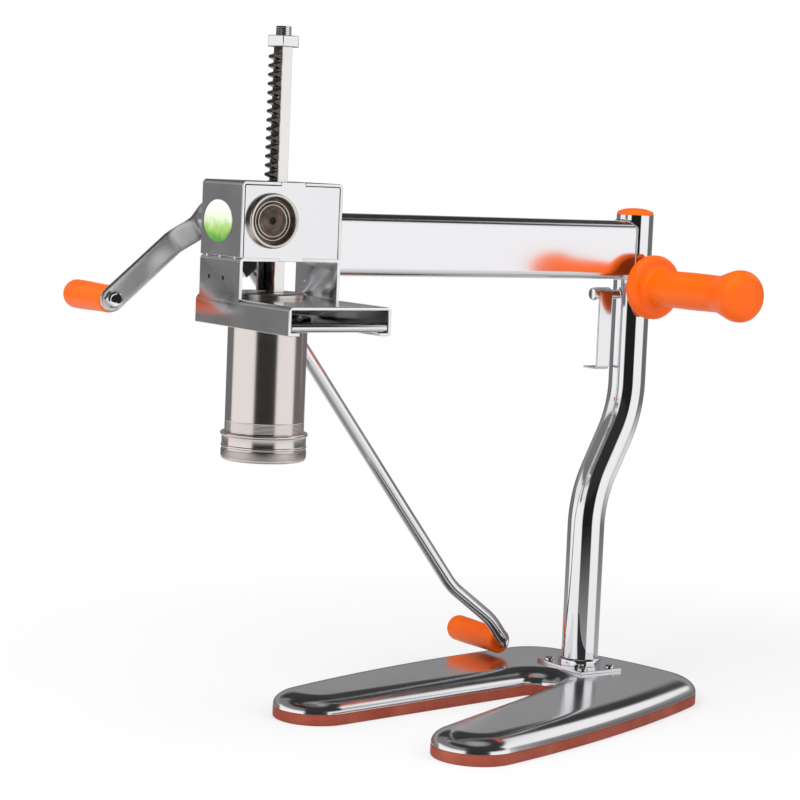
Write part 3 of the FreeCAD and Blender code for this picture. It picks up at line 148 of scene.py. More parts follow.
def add_piece(name, surfaces, material, body, nodes=(), closed=(), caps=()):
    """One object from grids of points in millimetres. Cells of neighbouring rows and columns are
    faces, closed says for each grid which of (rows, columns) join up, caps are loops to fill.
    Points that meet are merged, which closes poles, and normals are made to point outwards."""
    mesh = bpy.data.meshes.new(name)
    shell = bmesh.new()
    points, faces, offset = [], [], 0
    for grid, (join_rows, join_columns) in zip(surfaces, closed):
        rows, columns = grid.shape[:2]
        index = np.arange(rows * columns).reshape(rows, columns) + offset
        if join_rows:
            index = np.concatenate([index, index[:1]])
        if join_columns:
            index = np.concatenate([index, index[:, :1]], axis=1)
        cells = np.stack([index[:-1, :-1], index[1:, :-1], index[1:, 1:], index[:-1, 1:]], axis=-1)
        faces += cells.reshape(-1, 4).tolist()
        points.append(grid.reshape(-1, 3))
        offset += rows * columns
    for loop in caps:
        faces.append(list(range(offset, offset + len(loop))))
        points.append(np.asarray(loop, float))
        offset += len(loop)
    mesh.from_pydata((np.concatenate(points) * 0.001).tolist(), [], faces)
    shell.from_mesh(mesh)
    bmesh.ops.remove_doubles(shell, verts=shell.verts, dist=2e-6)
    bmesh.ops.recalc_face_normals(shell, faces=shell.faces)
    shell.to_mesh(mesh)
    shell.free()
    piece = bpy.data.objects.new(name, mesh)
    bpy.context.scene.collection.objects.link(piece)
    return finish_piece(piece, material, body, nodes)


sharp_angle = math.radians(35)


def finish_piece(piece, material, body, nodes=()):
    """Smooth shading below the sharp angle, the material, and the body and CAD nodes it is for."""
    piece.data.materials.clear()
    piece.data.materials.append(material)
    piece.data.shade_smooth()
    piece.data.set_sharp_from_angle(angle=sharp_angle)
    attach(piece, body)
    if nodes:
        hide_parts(*nodes)
    return piece


def linear(code):
    """A linear colour from an sRGB hex value: each part over 255, less 0.055 and over 1.055, to the
    power 2.4, or over 12.92 where it is dark."""
    parts = [int(code[i:i + 2], 16) / 255 for i in (1, 3, 5)]
    return (*[p / 12.92 if p <= 0.04045 else ((p + 0.055) / 1.055) ** 2.4 for p in parts], 1.0)


def connect(tree, node, links):
    """Sets a node's inputs. Each link is the input and either the socket it takes or a plain value."""
    for socket, source in links:
        if isinstance(source, bpy.types.NodeSocket):
            tree.links.new(source, node.inputs[socket])
        else:
            node.inputs[socket].default_value = source


def add_node(tree, kind, links=(), **settings):
    """A shader node of a kind, with its links as in connect and its properties as the other keys."""
    node = tree.nodes.new("ShaderNode" + kind)
    for key, value in settings.items():
        setattr(node, key, value)
    connect(tree, node, links)
    return node


def colour_stops(ramp, stops):
    """Gives a ramp its stops, each a place on it and a colour, with an even change between two."""
    points = ramp.color_ramp.elements
    for stop in stops[2:]:
        points.new(stop[0])
    for point, (place, colour) in zip(points, sorted(stops)):
        point.position = place
        point.color = colour


def start_material(name):
    """A new material's tree, its main shader, and the point being shaded in metres."""
    material = bpy.data.materials.new(name)
    material.use_nodes = True
    tree = material.node_tree
    place = add_node(tree, "TexCoord").outputs["Object"]
    return material, tree, tree.nodes["Principled BSDF"], place


# Vulcanised rubber, moulded in an etched mould: matt, with a soft grain of half a millimetre and
# paler scuffs about 30 mm across.
red_rubber, tree, shader, place = start_material("red_rubber")
scuffs = add_node(tree, "TexNoise", [("Vector", place), ("Scale", 35.0), ("Detail", 6.0)])
tone = add_node(tree, "ValToRGB", [("Fac", scuffs.outputs["Fac"])])
colour_stops(tone, [(0.35, linear("#8E3823")), (0.75, linear("#A5503A"))])
grain = add_node(tree, "TexNoise", [("Vector", place), ("Scale", 2000.0), ("Detail", 2.0)])
bump = add_node(tree, "Bump", [("Height", grain.outputs["Fac"]), ("Strength", 0.25), ("Distance", 0.0002)])
connect(tree, shader, [("Base Color", tone.outputs["Color"]), ("Normal", bump.outputs["Normal"]),
                       ("Roughness", 0.62), ("IOR", 1.52)])

tray_height = 9
tray_ledge = 10
tray_profile = soft_corners([(tray_ledge, 0), (0, 0), (0, tray_height), (tray_ledge, tray_height)],
                            (0, 1.2, 0.8, 0), 4)
tray_wall = np.stack([turned_base(fork_outline(inset), height) for inset, height in tray_profile])
tray_floor = turned_base(fork_outline(tray_ledge), 0)
tray_shelf = turned_base(fork_outline(tray_ledge), tray_height)
add_piece("rubber_tray", [tray_wall], red_rubber, "stand", ["base_rubber"], [(False, True)],
          [tray_floor, tray_shelf])


# Base plate
# The forked base is pressed from thick sheet steel with a wide rolled rim, then brushed and chrome
# plated, so the flat top blurs what it reflects and the rim shows one soft highlight. It lies on the
# tray.

# Bright chrome plate over polished steel: almost a mirror, faintly cool, with wiped-on haze 55 mm
# across. The polishing marks are drawn 1 mm apart, coarser than the real ones, so that they show.
chrome, tree, shader, place = start_material("chrome_plate")
haze = add_node(tree, "TexNoise", [("Vector", place), ("Scale", 18.0), ("Detail", 4.0)])
rough = add_node(tree, "MapRange", [("Value", haze.outputs["Fac"]), ("From Min", 0.35),
                                    ("From Max", 0.75), ("To Min", 0.03), ("To Max", 0.07)])
swirl = add_node(tree, "TexNoise", [("Vector", place), ("Scale", 900.0), ("Detail", 2.0)])
bump = add_node(tree, "Bump", [("Height", swirl.outputs["Fac"]), ("Strength", 0.02), ("Distance", 0.0002)])
connect(tree, shader, [("Roughness", rough.outputs["Result"]), ("Normal", bump.outputs["Normal"]),
                       ("Base Color", linear("#EDEDF0")), ("Metallic", 1.0)])

# The same plate where the steel below was only brushed, so the picture in it is blurred, with haze
# 70 mm across and marks 1.4 mm apart, coarser than the real ones, so that they show.
satin_chrome, tree, shader, place = start_material("satin_chrome")
haze = add_node(tree, "TexNoise", [("Vector", place), ("Scale", 14.0), ("Detail", 5.0)])
rough = add_node(tree, "MapRange", [("Value", haze.outputs["Fac"]), ("From Min", 0.3), ("From Max", 0.75),
                                    ("To Min", 0.13), ("To Max", 0.2)])
swirl = add_node(tree, "TexNoise", [("Vector", place), ("Scale", 700.0), ("Detail", 3.0)])
bump = add_node(tree, "Bump", [("Height", swirl.outputs["Fac"]), ("Strength", 0.04), ("Distance", 0.0002)])
connect(tree, shader, [("Roughness", rough.outputs["Result"]), ("Normal", bump.outputs["Normal"]),
                       ("Base Color", linear("#F0EFF2")), ("Metallic", 1.0)])

# The rim is a quarter of an ellipse above a short upright edge.
rim_width = 21
rim_height = 12.4
edge_top = 9.6
plate_lip = 2.5
rim_turn = np.linspace(0, math.pi / 2, 22)
rim = np.stack([rim_width * (1 - np.cos(rim_turn)), edge_top + rim_height * np.sin(rim_turn)], axis=-1)
plate_profile = np.concatenate([[(plate_lip, tray_height), (0.4, tray_height)], rim])
plate_wall = np.stack([turned_base(fork_outline(inset), height) for inset, height in plate_profile])
plate_under = turned_base(fork_outline(plate_lip), tray_height)
plate_top = turned_base(fork_outline(rim_width), edge_top + rim_height)
add_piece("pressed_base", [plate_wall], satin_chrome, "stand", ["base_plate"], [(False, True)],
          [plate_under, plate_top])


# Foot of the post
# A flat chromed steel plate is welded to the post and held down by four pan head screws. A turned
# and chromed collar hides the weld.

def softened(node, material, body, width, gap=0.0):
    """A merged copy of a CAD node whose sharp edges are rounded off over a width in millimetres.
    With a gap, the points on its left and right edges and those of its top edge, 2.5 mm under the
    end of its tab, move in by that much. A point is on an edge when it is within 0.02 mm."""
    shell = bmesh.new()
    shell.from_mesh(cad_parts[node].data)
    bmesh.ops.remove_doubles(shell, verts=shell.verts, dist=1e-6)
    bmesh.ops.dissolve_limit(shell, angle_limit=math.radians(1), verts=shell.verts, edges=shell.edges)
    mesh = bpy.data.meshes.new(node + "_sheet")
    shell.to_mesh(mesh)
    shell.free()
    if gap:
        points = np.empty(len(mesh.vertices) * 3)
        mesh.vertices.foreach_get("co", points)
        points = points.reshape(-1, 3)
        low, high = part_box(node)
        near = 2e-5
        tab_height = 0.0025
        points[:, 0] += gap * 0.001 * (points[:, 0] < low[0] + near)
        points[:, 0] -= gap * 0.001 * (points[:, 0] > high[0] - near)
        points[:, 2] -= gap * 0.001 * (np.abs(points[:, 2] - high[2] + tab_height) < near)
        mesh.vertices.foreach_set("co", points.ravel())
    piece = bpy.data.objects.new(node + "_sheet", mesh)
    bpy.context.scene.collection.objects.link(piece)
    bevel = piece.modifiers.new("edges", "BEVEL")
    bevel.width = width * 0.001
    bevel.segments = 2
    bevel.limit_method = "ANGLE"
    bevel.angle_limit = sharp_angle
    return finish_piece(piece, material, body, [node])


def lathe(profile, steps=96):
    """A surface turned about Z: each (radius, height) of the profile goes once round a circle."""
    radius, height = np.array(profile, float).T
    angle = np.linspace(0, 2 * math.pi, steps, endpoint=False)[:, None]
    return np.stack([radius * np.cos(angle), radius * np.sin(angle), height + 0 * angle], axis=-1)


def placed(grid, origin, axis="z"):
    """A grid moved to an origin after its own Z is sent along an axis of the press."""
    x, y, z = grid[..., 0], grid[..., 1], grid[..., 2]
    turned = {"z": (x, y, z), "y": (x, z, -y), "-y": (x, -z, y), "x": (z, y, -x), "-x": (-z, y, x)}[axis]
    return np.stack(turned, axis=-1) + np.array(origin, float)


foot_top = 24.5
post_radius = 16
softened("flange_plate", satin_chrome, "stand", 0.5)
screw_profile = soft_corners([(0, 2.3), (1.2, 2.6), (4.5, 2.6), (4.5, 0), (2.4, 0), (2.4, -8), (0, -8)],
                             (0, 0, 2.2, 0.2, 0, 0, 0), 6)
screws = [placed(lathe(screw_profile, 40), (x, y, foot_top)) for x in (-14.5, 14.5) for y in (-24, 24)]
add_piece("foot_screws", screws, chrome, "stand", ["flange_screws"], [(True, False)] * 4)
collar_profile = soft_corners([(post_radius, 0), (19, 0), (19, 6.5), (post_radius, 6.5)],
                              (0, 0.3, 2.2, 0.3), 6, True)
add_piece("post_collar_ring", [placed(lathe(collar_profile), (0, 0, foot_top))], chrome, "stand",
          ["post_collar"], [(True, True)])


# Post
# Steel tube of 32 mm with a double bend, chrome plated and welded to its foot. A plug of orange
# plastic is pushed into its top.

def carry(section, path, across=(0, 1, 0)):
    """A flat section carried along a path: at each point of the path its first axis is across, and
    its second stands square to across and to the path's direction there."""
    path = np.array(path, float)
    across = np.array(across, float)
    ahead = np.gradient(path, axis=0)
    ahead = ahead / np.linalg.norm(ahead, axis=1, keepdims=True)
    second = np.cross(ahead, across)
    second = second / np.linalg.norm(second, axis=1, keepdims=True)
    section = np.array(section, float)
    return (path[:, None] + section[None, :, :1] * across + section[None, :, 1:] * second[:, None])


def circle(radius, steps=64):
    """Points round a circle: radius times the cosine and the sine of even steps of the turn."""
    angle = np.linspace(0, 2 * math.pi, steps, endpoint=False)
    return np.stack([radius * np.cos(angle), radius * np.sin(angle)], axis=-1)


post_wall = 2
post_reach = 37
post_top = 418
bend_turn = math.radians(26)
bend_radius = 110
lower_bend = 147 + bend_radius * math.tan(bend_turn / 2)
upper_bend = lower_bend + post_reach / math.tan(bend_turn)
post_line = soft_corners([
    (0, 0, foot_top), (0, 0, lower_bend), (post_reach, 0, upper_bend), (post_reach, 0, post_top),
], (0, bend_radius, bend_radius, 0), 24)
post_outside = carry(circle(post_radius, 72), post_line)
post_inside = carry(circle(post_radius - post_wall, 72), post_line)
post_ends = [np.stack([post_outside[i], post_inside[i]]) for i in (0, -1)]
add_piece("bent_post", [post_outside, post_inside, *post_ends], chrome, "stand", ["post_tube"],
          [(False, True)] * 4)

# Injection moulded polypropylene in signal orange: half glossy, lit a little from below its skin,
# with clouds of tone 45 mm across and a slight peel with dents of 2 mm.
orange, tree, shader, place = start_material("orange_plastic")
cloud = add_node(tree, "TexNoise", [("Vector", place), ("Scale", 22.0), ("Detail", 3.0)])
tone = add_node(tree, "ValToRGB", [("Fac", cloud.outputs["Fac"])])
colour_stops(tone, [(0.3, linear("#F35E04")), (0.7, linear("#FA6A07"))])
peel = add_node(tree, "TexNoise", [("Vector", place), ("Scale", 450.0), ("Detail", 1.0)])
bump = add_node(tree, "Bump", [("Height", peel.outputs["Fac"]), ("Strength", 0.06), ("Distance", 0.0003)])
connect(tree, shader, [("Base Color", tone.outputs["Color"]), ("Normal", bump.outputs["Normal"]),
                       ("Roughness", 0.34), ("IOR", 1.49), ("Specular IOR Level", 0.3),
                       ("Subsurface Weight", 0.08), ("Subsurface Radius", (0.004, 0.0015, 0.0008))])

cap_profile = soft_corners([(0, 6), (8, 5.6), (15.4, 3.2), (16, 0), (14, 0), (14, -14), (0, -14)],
                           (0, 24, 2.2, 0.2, 0, 0.5, 0), 8)
add_piece("post_plug", [placed(lathe(cap_profile), (post_reach, 0, post_top))], orange, "stand", ["post_cap"],
          [(True, False)])


# Beam
# Rectangular steel tube of 28 by 50 mm with rounded corners, chrome plated, butted to the gear box
# and cut to fit the post at its other end, where a weld runs round it.

def rounded_box(width, height, radius, steps=6):
    """Section of a rectangle about its centre, whose corners give way to arcs of the radius."""
    w, h = width / 2, height / 2
    return soft_corners([(-w, -h), (w, -h), (w, h), (-w, h)], [radius] * 4, steps, True)


beam_height = 387.5
seat_radius = 16.06
beam_width = 28
beam_depth = 50
beam_wall = 2
outer_section = rounded_box(beam_width, beam_depth, 7, 10)
inner_section = rounded_box(beam_width - 2 * beam_wall, beam_depth - 2 * beam_wall, 5, 10)
box_end = np.full(len(outer_section), -281.0)
post_end = post_reach - np.sqrt(seat_radius ** 2 - outer_section[:, 0] ** 2)
beam_rings = [np.stack([x, section[:, 0], section[:, 1] + beam_height], axis=-1)
              for x, section in ((box_end, outer_section), (post_end, outer_section),
                                 (post_end, inner_section), (box_end, inner_section))]
add_piece("cross_beam", [np.stack(beam_rings)], satin_chrome, "stand", ["beam"], [(True, True)])


def bead(line, width, centre):
    """A weld bead along a closed line: a ring round each point. The ring's radius swells and falls
    with three sine waves of different length, so no two ripples are alike, and grows over the top
    4 mm of the line, where the weld starts and ends."""
    ahead = np.roll(line, -1, axis=0) - np.roll(line, 1, axis=0)
    ahead = ahead / np.linalg.norm(ahead, axis=1, keepdims=True)
    outward = line - np.array(centre, float)
    outward = outward - (outward * ahead).sum(1, keepdims=True) * ahead
    outward = outward / np.linalg.norm(outward, axis=1, keepdims=True)
    third = np.cross(ahead, outward)
    travel = np.concatenate([[0], np.cumsum(np.linalg.norm(np.diff(line, axis=0), axis=1))])
    waves = 0.10 * np.sin(travel / 2.9) + 0.07 * np.sin(travel / 1.7 + 1) + 0.06 * np.sin(travel / 7.3)
    top = np.clip((line[:, 2] - centre[2] - 21) / 4, 0, 1)
    radius = width / 2 * (1 + waves + top * (0.45 + 0.5 * np.sin(travel / 1.3)))
    angle = np.linspace(0, 2 * math.pi, 12, endpoint=False)
    return (line[:, None] + radius[:, None, None] * (np.cos(angle)[None, :, None] * outward[:, None]
                                                     + np.sin(angle)[None, :, None] * third[:, None]))


def evenly(line, count):
    """A closed line divided again: its points are read off at even distances of travel along it."""
    line = np.concatenate([line, line[:1]])
    travel = np.concatenate([[0], np.cumsum(np.linalg.norm(np.diff(line, axis=0), axis=1))])
    spots = np.linspace(0, travel[-1], count, endpoint=False)
    return np.stack([np.interp(spots, travel, line[:, i]) for i in range(line.shape[1])], axis=-1)


seam = evenly(rounded_box(beam_width + 0.2, beam_depth + 0.2, 7.1, 10), 420)
seam_line = np.stack([36.8 - np.sqrt(16.1 ** 2 - seam[:, 0] ** 2), seam[:, 0], seam[:, 1] + beam_height],
                     axis=-1)
add_piece("beam_weld", [bead(seam_line, 1.7, (30, 0, beam_height))], chrome, "stand", (), [(True, True)])


# Hand grip
# One hollow moulding of orange plastic with a round guard and a swollen end, pressed over a steel
# stud that is welded to the post.

grip_height = 357
grip_start = -24
grip_profile = soft_corners([
    (6, 0), (24.5, 0), (27.5, 3), (27.5, 9), (24.5, 12), (15.5, 13.5), (15.8, 60), (15.3, 95),
    (21.5, 116), (21.5, 130), (0, 130), (0, 117), (6, 117),
], (0, 1.5, 2.5, 2.5, 3.5, 5, 60, 22, 13, 9.5, 0, 0, 0.5), 12)
add_piece("grip_moulding", [placed(lathe(grip_profile, 128), (post_reach, grip_start, grip_height), "-y")],
          orange, "stand", ["hand_grip"], [(True, True)])
stud_profile = soft_corners([(0, 0), (13, 0), (13, 24), (6, 24), (6, 140), (0, 140)], (0, 0, 0.5, 0, 1, 0), 4)
stud_grid = placed(lathe(stud_profile, 64), (post_reach, 0, grip_height), "-y")
post_skin = -np.sqrt(np.clip(seat_radius ** 2 - (stud_grid[..., 0] - post_reach) ** 2, 0, None))
stud_grid[..., 1] = np.minimum(stud_grid[..., 1], post_skin)
add_piece("grip_stud_turned", [stud_grid], chrome, "stand", ["grip_stud"], [(True, False)])


# Hook
# A headed peg is welded to the post, and a hook bent from polished steel strip hangs on it by a
# rolled eye.

hook_height = 349
peg_end = -6
peg_profile = soft_corners([(0, 0), (5.5, 0), (5.5, 4), (4, 4), (4, 27), (0, 27)], (0, 1.2, 1, 0, 0, 0), 6)
add_piece("hook_pin", [placed(lathe(peg_profile, 48), (peg_end, 0, hook_height), "x")], chrome, "stand",
          ["hook_peg"], [(True, False)])

# Cold rolled stainless sheet, polished along its length and left bare: a soft mirror with level hair
# lines, a little uneven. They are drawn half a millimetre apart, coarser than the real ones, so that
# they show.
sheet_steel, tree, shader, place = start_material("polished_sheet")
stretch = add_node(tree, "Mapping", [("Vector", place), ("Scale", (30.0, 30.0, 1800.0))])
lines = add_node(tree, "TexNoise", [("Vector", stretch.outputs["Vector"]), ("Scale", 1.0), ("Detail", 3.0)])
cloud = add_node(tree, "TexNoise", [("Vector", place), ("Scale", 25.0), ("Detail", 3.0)])
rough = add_node(tree, "MapRange", [("Value", cloud.outputs["Fac"]), ("From Min", 0.3), ("From Max", 0.7),
                                    ("To Min", 0.13), ("To Max", 0.22)])
bump = add_node(tree, "Bump", [("Height", lines.outputs["Fac"]), ("Strength", 0.05), ("Distance", 0.0002)])
connect(tree, shader, [("Roughness", rough.outputs["Result"]), ("Normal", bump.outputs["Normal"]),
                       ("Base Color", linear("#ECECEE")), ("Metallic", 1.0)])
eye_radius = 5.1
leg_length = 64.1
toe_reach = 12.9
strip_width = 13.6
strip_thickness = 1.8
eye_turn = np.radians(np.linspace(-50, 180, 40))
eye = np.stack([0 * eye_turn, eye_radius * np.cos(eye_turn), eye_radius * np.sin(eye_turn)], axis=-1)
leg = soft_corners([(0, -eye_radius, -1), (0, -eye_radius, -leg_length), (0, toe_reach, -leg_length)],
                   (0, 2.6, 0), 10)
strip_line = np.concatenate([eye, leg]) + (5.1, 0, hook_height)
strip = carry(rounded_box(strip_width, strip_thickness, 0.6, 4), strip_line, (1, 0, 0))
add_piece("hook_bent_strip", [strip], sheet_steel, "hook", ["hook_strip"], [(False, True)],
          [strip[0], strip[-1]])


# Gear box
# Top and sides are one folded sheet of stainless steel. The front and back plates sit between them,
# held by tabs in notches, and the web of the spot welded lower bracket closes the box from below.

for node, width, gap in (("box_wrap", 0.4, 0), ("lower_bracket", 0.4, 0), ("guide_strip", 0.35, 0),
                         ("rack_guide", 0.35, 0), ("front_plate", 0.5, 0.45), ("back_plate", 0.5, 0.45)):
    softened(node, sheet_steel, "stand", width, gap=gap)


def lens(radius, rise):
    """A shallow cap: the height falls from its rise at the middle to zero at the rim as one less the
    square of the distance. A flat underside 0.3 mm below the rim closes it."""
    out = np.linspace(0, 1, 7)
    crown = np.stack([out * radius, rise * (1 - out ** 2)], axis=-1)
    return lathe(np.concatenate([crown, [(radius, -0.3), (0, -0.3)]]), 20)


box_left = -371
welds = [placed(lens(1.5, 0.5), (box_left, y, 376.9), "-x") for y in (22, 1, -23)]
pips = [placed(lens(1.3, 0.4), (-283.5, y, z), "-x") for y, z in ((18, 357), (-8, 356))]
add_piece("spot_welds", welds + pips, sheet_steel, "stand", (), [(True, False)] * 5)

# Painted shade for pits and drilled centres: nearly black and nearly matt, so they hold no light, with a
# roughness that changes over 2.5 mm.
hole_shade, tree, shader, place = start_material("hole_shade")
shade_mottle = add_node(tree, "TexNoise", [("Vector", place), ("Scale", 400.0), ("Detail", 2.0)])
rough = add_node(tree, "MapRange", [("Value", shade_mottle.outputs["Fac"]), ("To Min", 0.5), ("To Max", 0.8)])
connect(tree, shader, [("Roughness", rough.outputs["Result"]), ("Base Color", linear("#0C0A09"))])
# The two dimples are near black as painted shade in their hollows.
dimples = [placed(lens(1.9, 0.15), (box_left, y, 360), "-x") for y in (17, -6)]
add_piece("weld_dimples", dimples, hole_shade, "stand", (), [(True, False)] * 2)

# Printed paper under a clear film: glossy, green at the foot and fading to white, with an edge to
# the fade that wavers every 8 mm.
sticker, tree, shader, place = start_material("printed_sticker")
parts = add_node(tree, "SeparateXYZ", [("Vector", place)])
wave = add_node(tree, "TexNoise", [("Vector", place), ("Scale", 120.0), ("Detail", 3.0)])
rise = add_node(tree, "Math", [(0, wave.outputs["Fac"]), (1, 0.014), (2, parts.outputs["Z"])],
                operation="MULTIPLY_ADD")
level = add_node(tree, "MapRange", [("Value", rise.outputs["Value"]), ("From Min", 0.397),
                                    ("From Max", 0.424)])
tone = add_node(tree, "ValToRGB", [("Fac", level.outputs["Result"])])
colour_stops(tone, [(0.0, linear("#4F9A3A")), (0.35, linear("#A9D06E")), (0.6, linear("#E3EFD0")),
                    (1.0, linear("#F4F7EE"))])
connect(tree, shader, [("Base Color", tone.outputs["Color"]), ("Roughness", 0.3), ("Coat Weight", 0.4)])
sticker_thickness = 0.3
sticker_reach = (22.5, 16.5)
sticker_middle = (5, 404)
oval = circle(1, 96) * sticker_reach + sticker_middle
oval_front = np.stack([np.full(96, box_left - sticker_thickness), oval[:, 0], oval[:, 1]], axis=-1)
oval_back = oval_front + (sticker_thickness, 0, 0)
oval_rim = np.stack([oval_front, oval_back])
add_piece("oval_sticker", [oval_rim], sticker, "stand", ["label"], [(False, True)], [oval_front, oval_back])


# Rail
# A channel of folded stainless sheet with inward lips is welded under the bracket. The drawer plate
# slides in it from the front.

softened("rail_channel", sheet_steel, "stand", 0.4)


# Bearings
# Housings turned from mild steel are welded into the front and back plates. Each holds a ball
# bearing with steel shields, which is pressed in.

# Mild steel, turned on a lathe and left bright: warm grey, with duller patches about 17 mm across
# where it has been handled.
turned_steel, tree, shader, place = start_material("turned_steel")
cloud = add_node(tree, "TexNoise", [("Vector", place), ("Scale", 60.0), ("Detail", 4.0)])
rough = add_node(tree, "MapRange", [("Value", cloud.outputs["Fac"]), ("To Min", 0.16), ("To Max", 0.32)])
connect(tree, shader, [("Roughness", rough.outputs["Result"]), ("Base Color", linear("#DDD8D0")),
                       ("Metallic", 1.0)])

# Pressed steel painted dark brown and half matt as shade in the recess, as on the shields of the bearings and
# the end of the shaft, with blotches 6 mm across.
shaded_recess_steel, tree, shader, place = start_material("shaded_recess_steel")
shade_mottle = add_node(tree, "TexNoise", [("Vector", place), ("Scale", 160.0), ("Detail", 4.0)])
tone = add_node(tree, "ValToRGB", [("Fac", shade_mottle.outputs["Fac"])])
colour_stops(tone, [(0.3, linear("#3F322B")), (0.75, linear("#75655B"))])
connect(tree, shader, [("Base Color", tone.outputs["Color"]), ("Metallic", 0.55), ("Roughness", 0.38)])

housing_profile = soft_corners([
    (18.5, 0), (21.25, 0), (21.25, 14.4), (15.5, 14.4), (15.5, 12.4), (18.5, 12.4),
], (0.8, 1.0, 0, 0, 0, 0), 5, True)
shield_profile = soft_corners([(10.04, 0.6), (11.6, 0.6), (13.4, 1.3), (14.4, 1.3), (15.8, 1.6), (18.4, 1.6),
                               (18.4, 9), (10.04, 9)], (0.2, 0.3, 0.5, 0.5, 0.4, 0.2, 0.3, 0.3), 4, True)
race_profiles = [soft_corners([(low, 0.2), (high, 0.2), (high, 2), (low, 2)], [0.35, 0.35, 0, 0], 3, True)
                 for low, high in ((11.8, 12.8), (14.6, 15.6))]
shaft_x = -344.25
shaft_height = 406
for side, start, face, axis in (("front", -37.5, -34.1, "y"), ("back", 37.5, 34.1, "-y")):
    housing = placed(lathe(housing_profile, 128), (shaft_x, start, shaft_height), axis)
    add_piece(f"{side}_bearing_housing", [housing], turned_steel, "stand", [f"{side}_housing"],
              [(True, True)])
    # The shields are dark brown as painted shade in the recess of the housing.
    shield = placed(lathe(shield_profile, 128), (shaft_x, face, shaft_height), axis)
    add_piece(f"{side}_bearing_shield", [shield], shaded_recess_steel, "stand", [f"{side}_bearing"], [(True, True)])
    races = [placed(lathe(profile, 128), (shaft_x, face, shaft_height), axis) for profile in race_profiles]
    add_piece(f"{side}_bearing_races", races, turned_steel, "stand", (), [(True, True)] * 2)


# Shaft and pinion
# The shaft is ground steel with a centre hole in its front end and a squared, threaded back end. The
# pinion is keyed on its middle.

for node in ("pinion_shaft", "pinion", "shaft_spacer", "crank_boss", "shaft_nut"):
    softened(node, turned_steel, "crank", 0.3)
end_profile = soft_corners([(0, 0), (0, 0.35), (9.7, 0.35), (9.7, -0.5), (0, -0.5)], (0, 0, 0.3, 0, 0), 3)[1:]
# The shaft's end face is dark brown as painted shade in the recess.
shaft_face = (shaft_x, -33.6, shaft_height)
add_piece("shaft_end_face", [placed(lathe(end_profile, 96), shaft_face, "-y")], shaded_recess_steel, "crank", (),
          [(True, False)])
# The centre hole is near black as painted shade inside it.
hole_profile = [(0, 0.36), (2.3, 0.38), (2.7, 0.55), (3.0, 0.3), (3.0, -0.3), (0, -0.3)]
add_piece("shaft_centre", [placed(lathe(hole_profile, 48), shaft_face, "-y")], hole_shade, "crank", (),
          [(True, False)])


# Rack
# A square steel bar is milled with rack teeth on its left side, which the pinion drives. Its top
# ends in a threaded stud with a nut.

# Milled steel bar: bright on its faces, and darker on its toothed side with painted shade between and on the
# teeth. The edge of the painted shade wavers every 4 mm.
shaded_rack_steel, tree, shader, place = start_material("shaded_rack_steel")
parts = add_node(tree, "SeparateXYZ", [("Vector", place)])
teeth_mottle = add_node(tree, "TexNoise", [("Vector", place), ("Scale", 260.0), ("Detail", 4.0)])
edge = add_node(tree, "Math", [(0, teeth_mottle.outputs["Fac"]), (1, 0.0016), (2, parts.outputs["X"])],
                operation="MULTIPLY_ADD")
# Painted shade: where X falls below about -0.325 m, over the teeth, the colour turns dark.
teeth_shade = add_node(tree, "MapRange", [("Value", edge.outputs["Value"]), ("From Min", -0.3250),
                                     ("From Max", -0.3238)])
tone = add_node(tree, "ValToRGB", [("Fac", teeth_shade.outputs["Result"])])
colour_stops(tone, [(0.0, linear("#5A5653")), (1.0, linear("#ECEAE8"))])
rough = add_node(tree, "MapRange", [("Value", teeth_mottle.outputs["Fac"]), ("To Min", 0.12), ("To Max", 0.26)])
connect(tree, shader, [("Base Color", tone.outputs["Color"]), ("Roughness", rough.outputs["Result"]),
                       ("Metallic", 1.0)])

softened("rack_bar", shaded_rack_steel, "rack", 0.25)
softened("rack_nut", sheet_steel, "rack", 0.5)


def screw_thread(radius, low, high, pitch, depth, steps=48):
    """The flank of a thread: the radius rises and falls with the cosine of the height in pitches
    less the turn, so the crest climbs by one pitch in each turn. Its two ends turn inwards by 0.6 mm
    and join up, so the piece is a closed sleeve."""
    inward = ((radius - 0.6) / radius, (radius - 0.6) / radius, 1)
    angle = np.linspace(0, 2 * math.pi, steps, endpoint=False)[None]
    height = np.linspace(low, high, int((high - low) / pitch * 8) + 1)[:, None]
    reach = radius + depth * np.cos(height / pitch * 2 * math.pi - angle)
    flank = np.stack([reach * np.cos(angle), reach * np.sin(angle), height + 0 * angle], axis=-1)
    return np.concatenate([flank[:1] * inward, flank, flank[-1:] * inward])


stud_thread = placed(screw_thread(5.75, 549.6, 556.4, 1.75, 0.35), (-321.16, 0, 0))
add_piece("stud_thread", [stud_thread], turned_steel, "rack", (), [(True, True)])


# Piston
# A disc turned from steel is screwed to the foot of the rack from below. It runs in the cylinder
# with a little play and has no seal.

softened("piston_disc", turned_steel, "rack", 0.2)
softened("piston_screw", turned_steel, "rack", 0.1)


# Drawer plate and cylinder
# The cylinder is a stainless tube that hangs by its rim in a plate of stainless sheet. The plate
# slides into the rail, and its front edge is rolled into a bar.

# Stainless tube, brushed round its girth: warm grey, half mirror, with hair lines round it. They are
# drawn 0.4 mm apart, coarser than the real ones, so that they show.
brushed_tube, tree, shader, place = start_material("brushed_tube")
stretch = add_node(tree, "Mapping", [("Vector", place), ("Scale", (8.0, 8.0, 2500.0))])
lines = add_node(tree, "TexNoise", [("Vector", stretch.outputs["Vector"]), ("Scale", 1.0), ("Detail", 3.0)])
rough = add_node(tree, "MapRange", [("Value", lines.outputs["Fac"]), ("To Min", 0.13), ("To Max", 0.21)])
bump = add_node(tree, "Bump", [("Height", lines.outputs["Fac"]), ("Strength", 0.03), ("Distance", 0.0002)])
connect(tree, shader, [("Roughness", rough.outputs["Result"]), ("Normal", bump.outputs["Normal"]),
                       ("Base Color", linear("#E2DAD6")), ("Metallic", 1.0)])

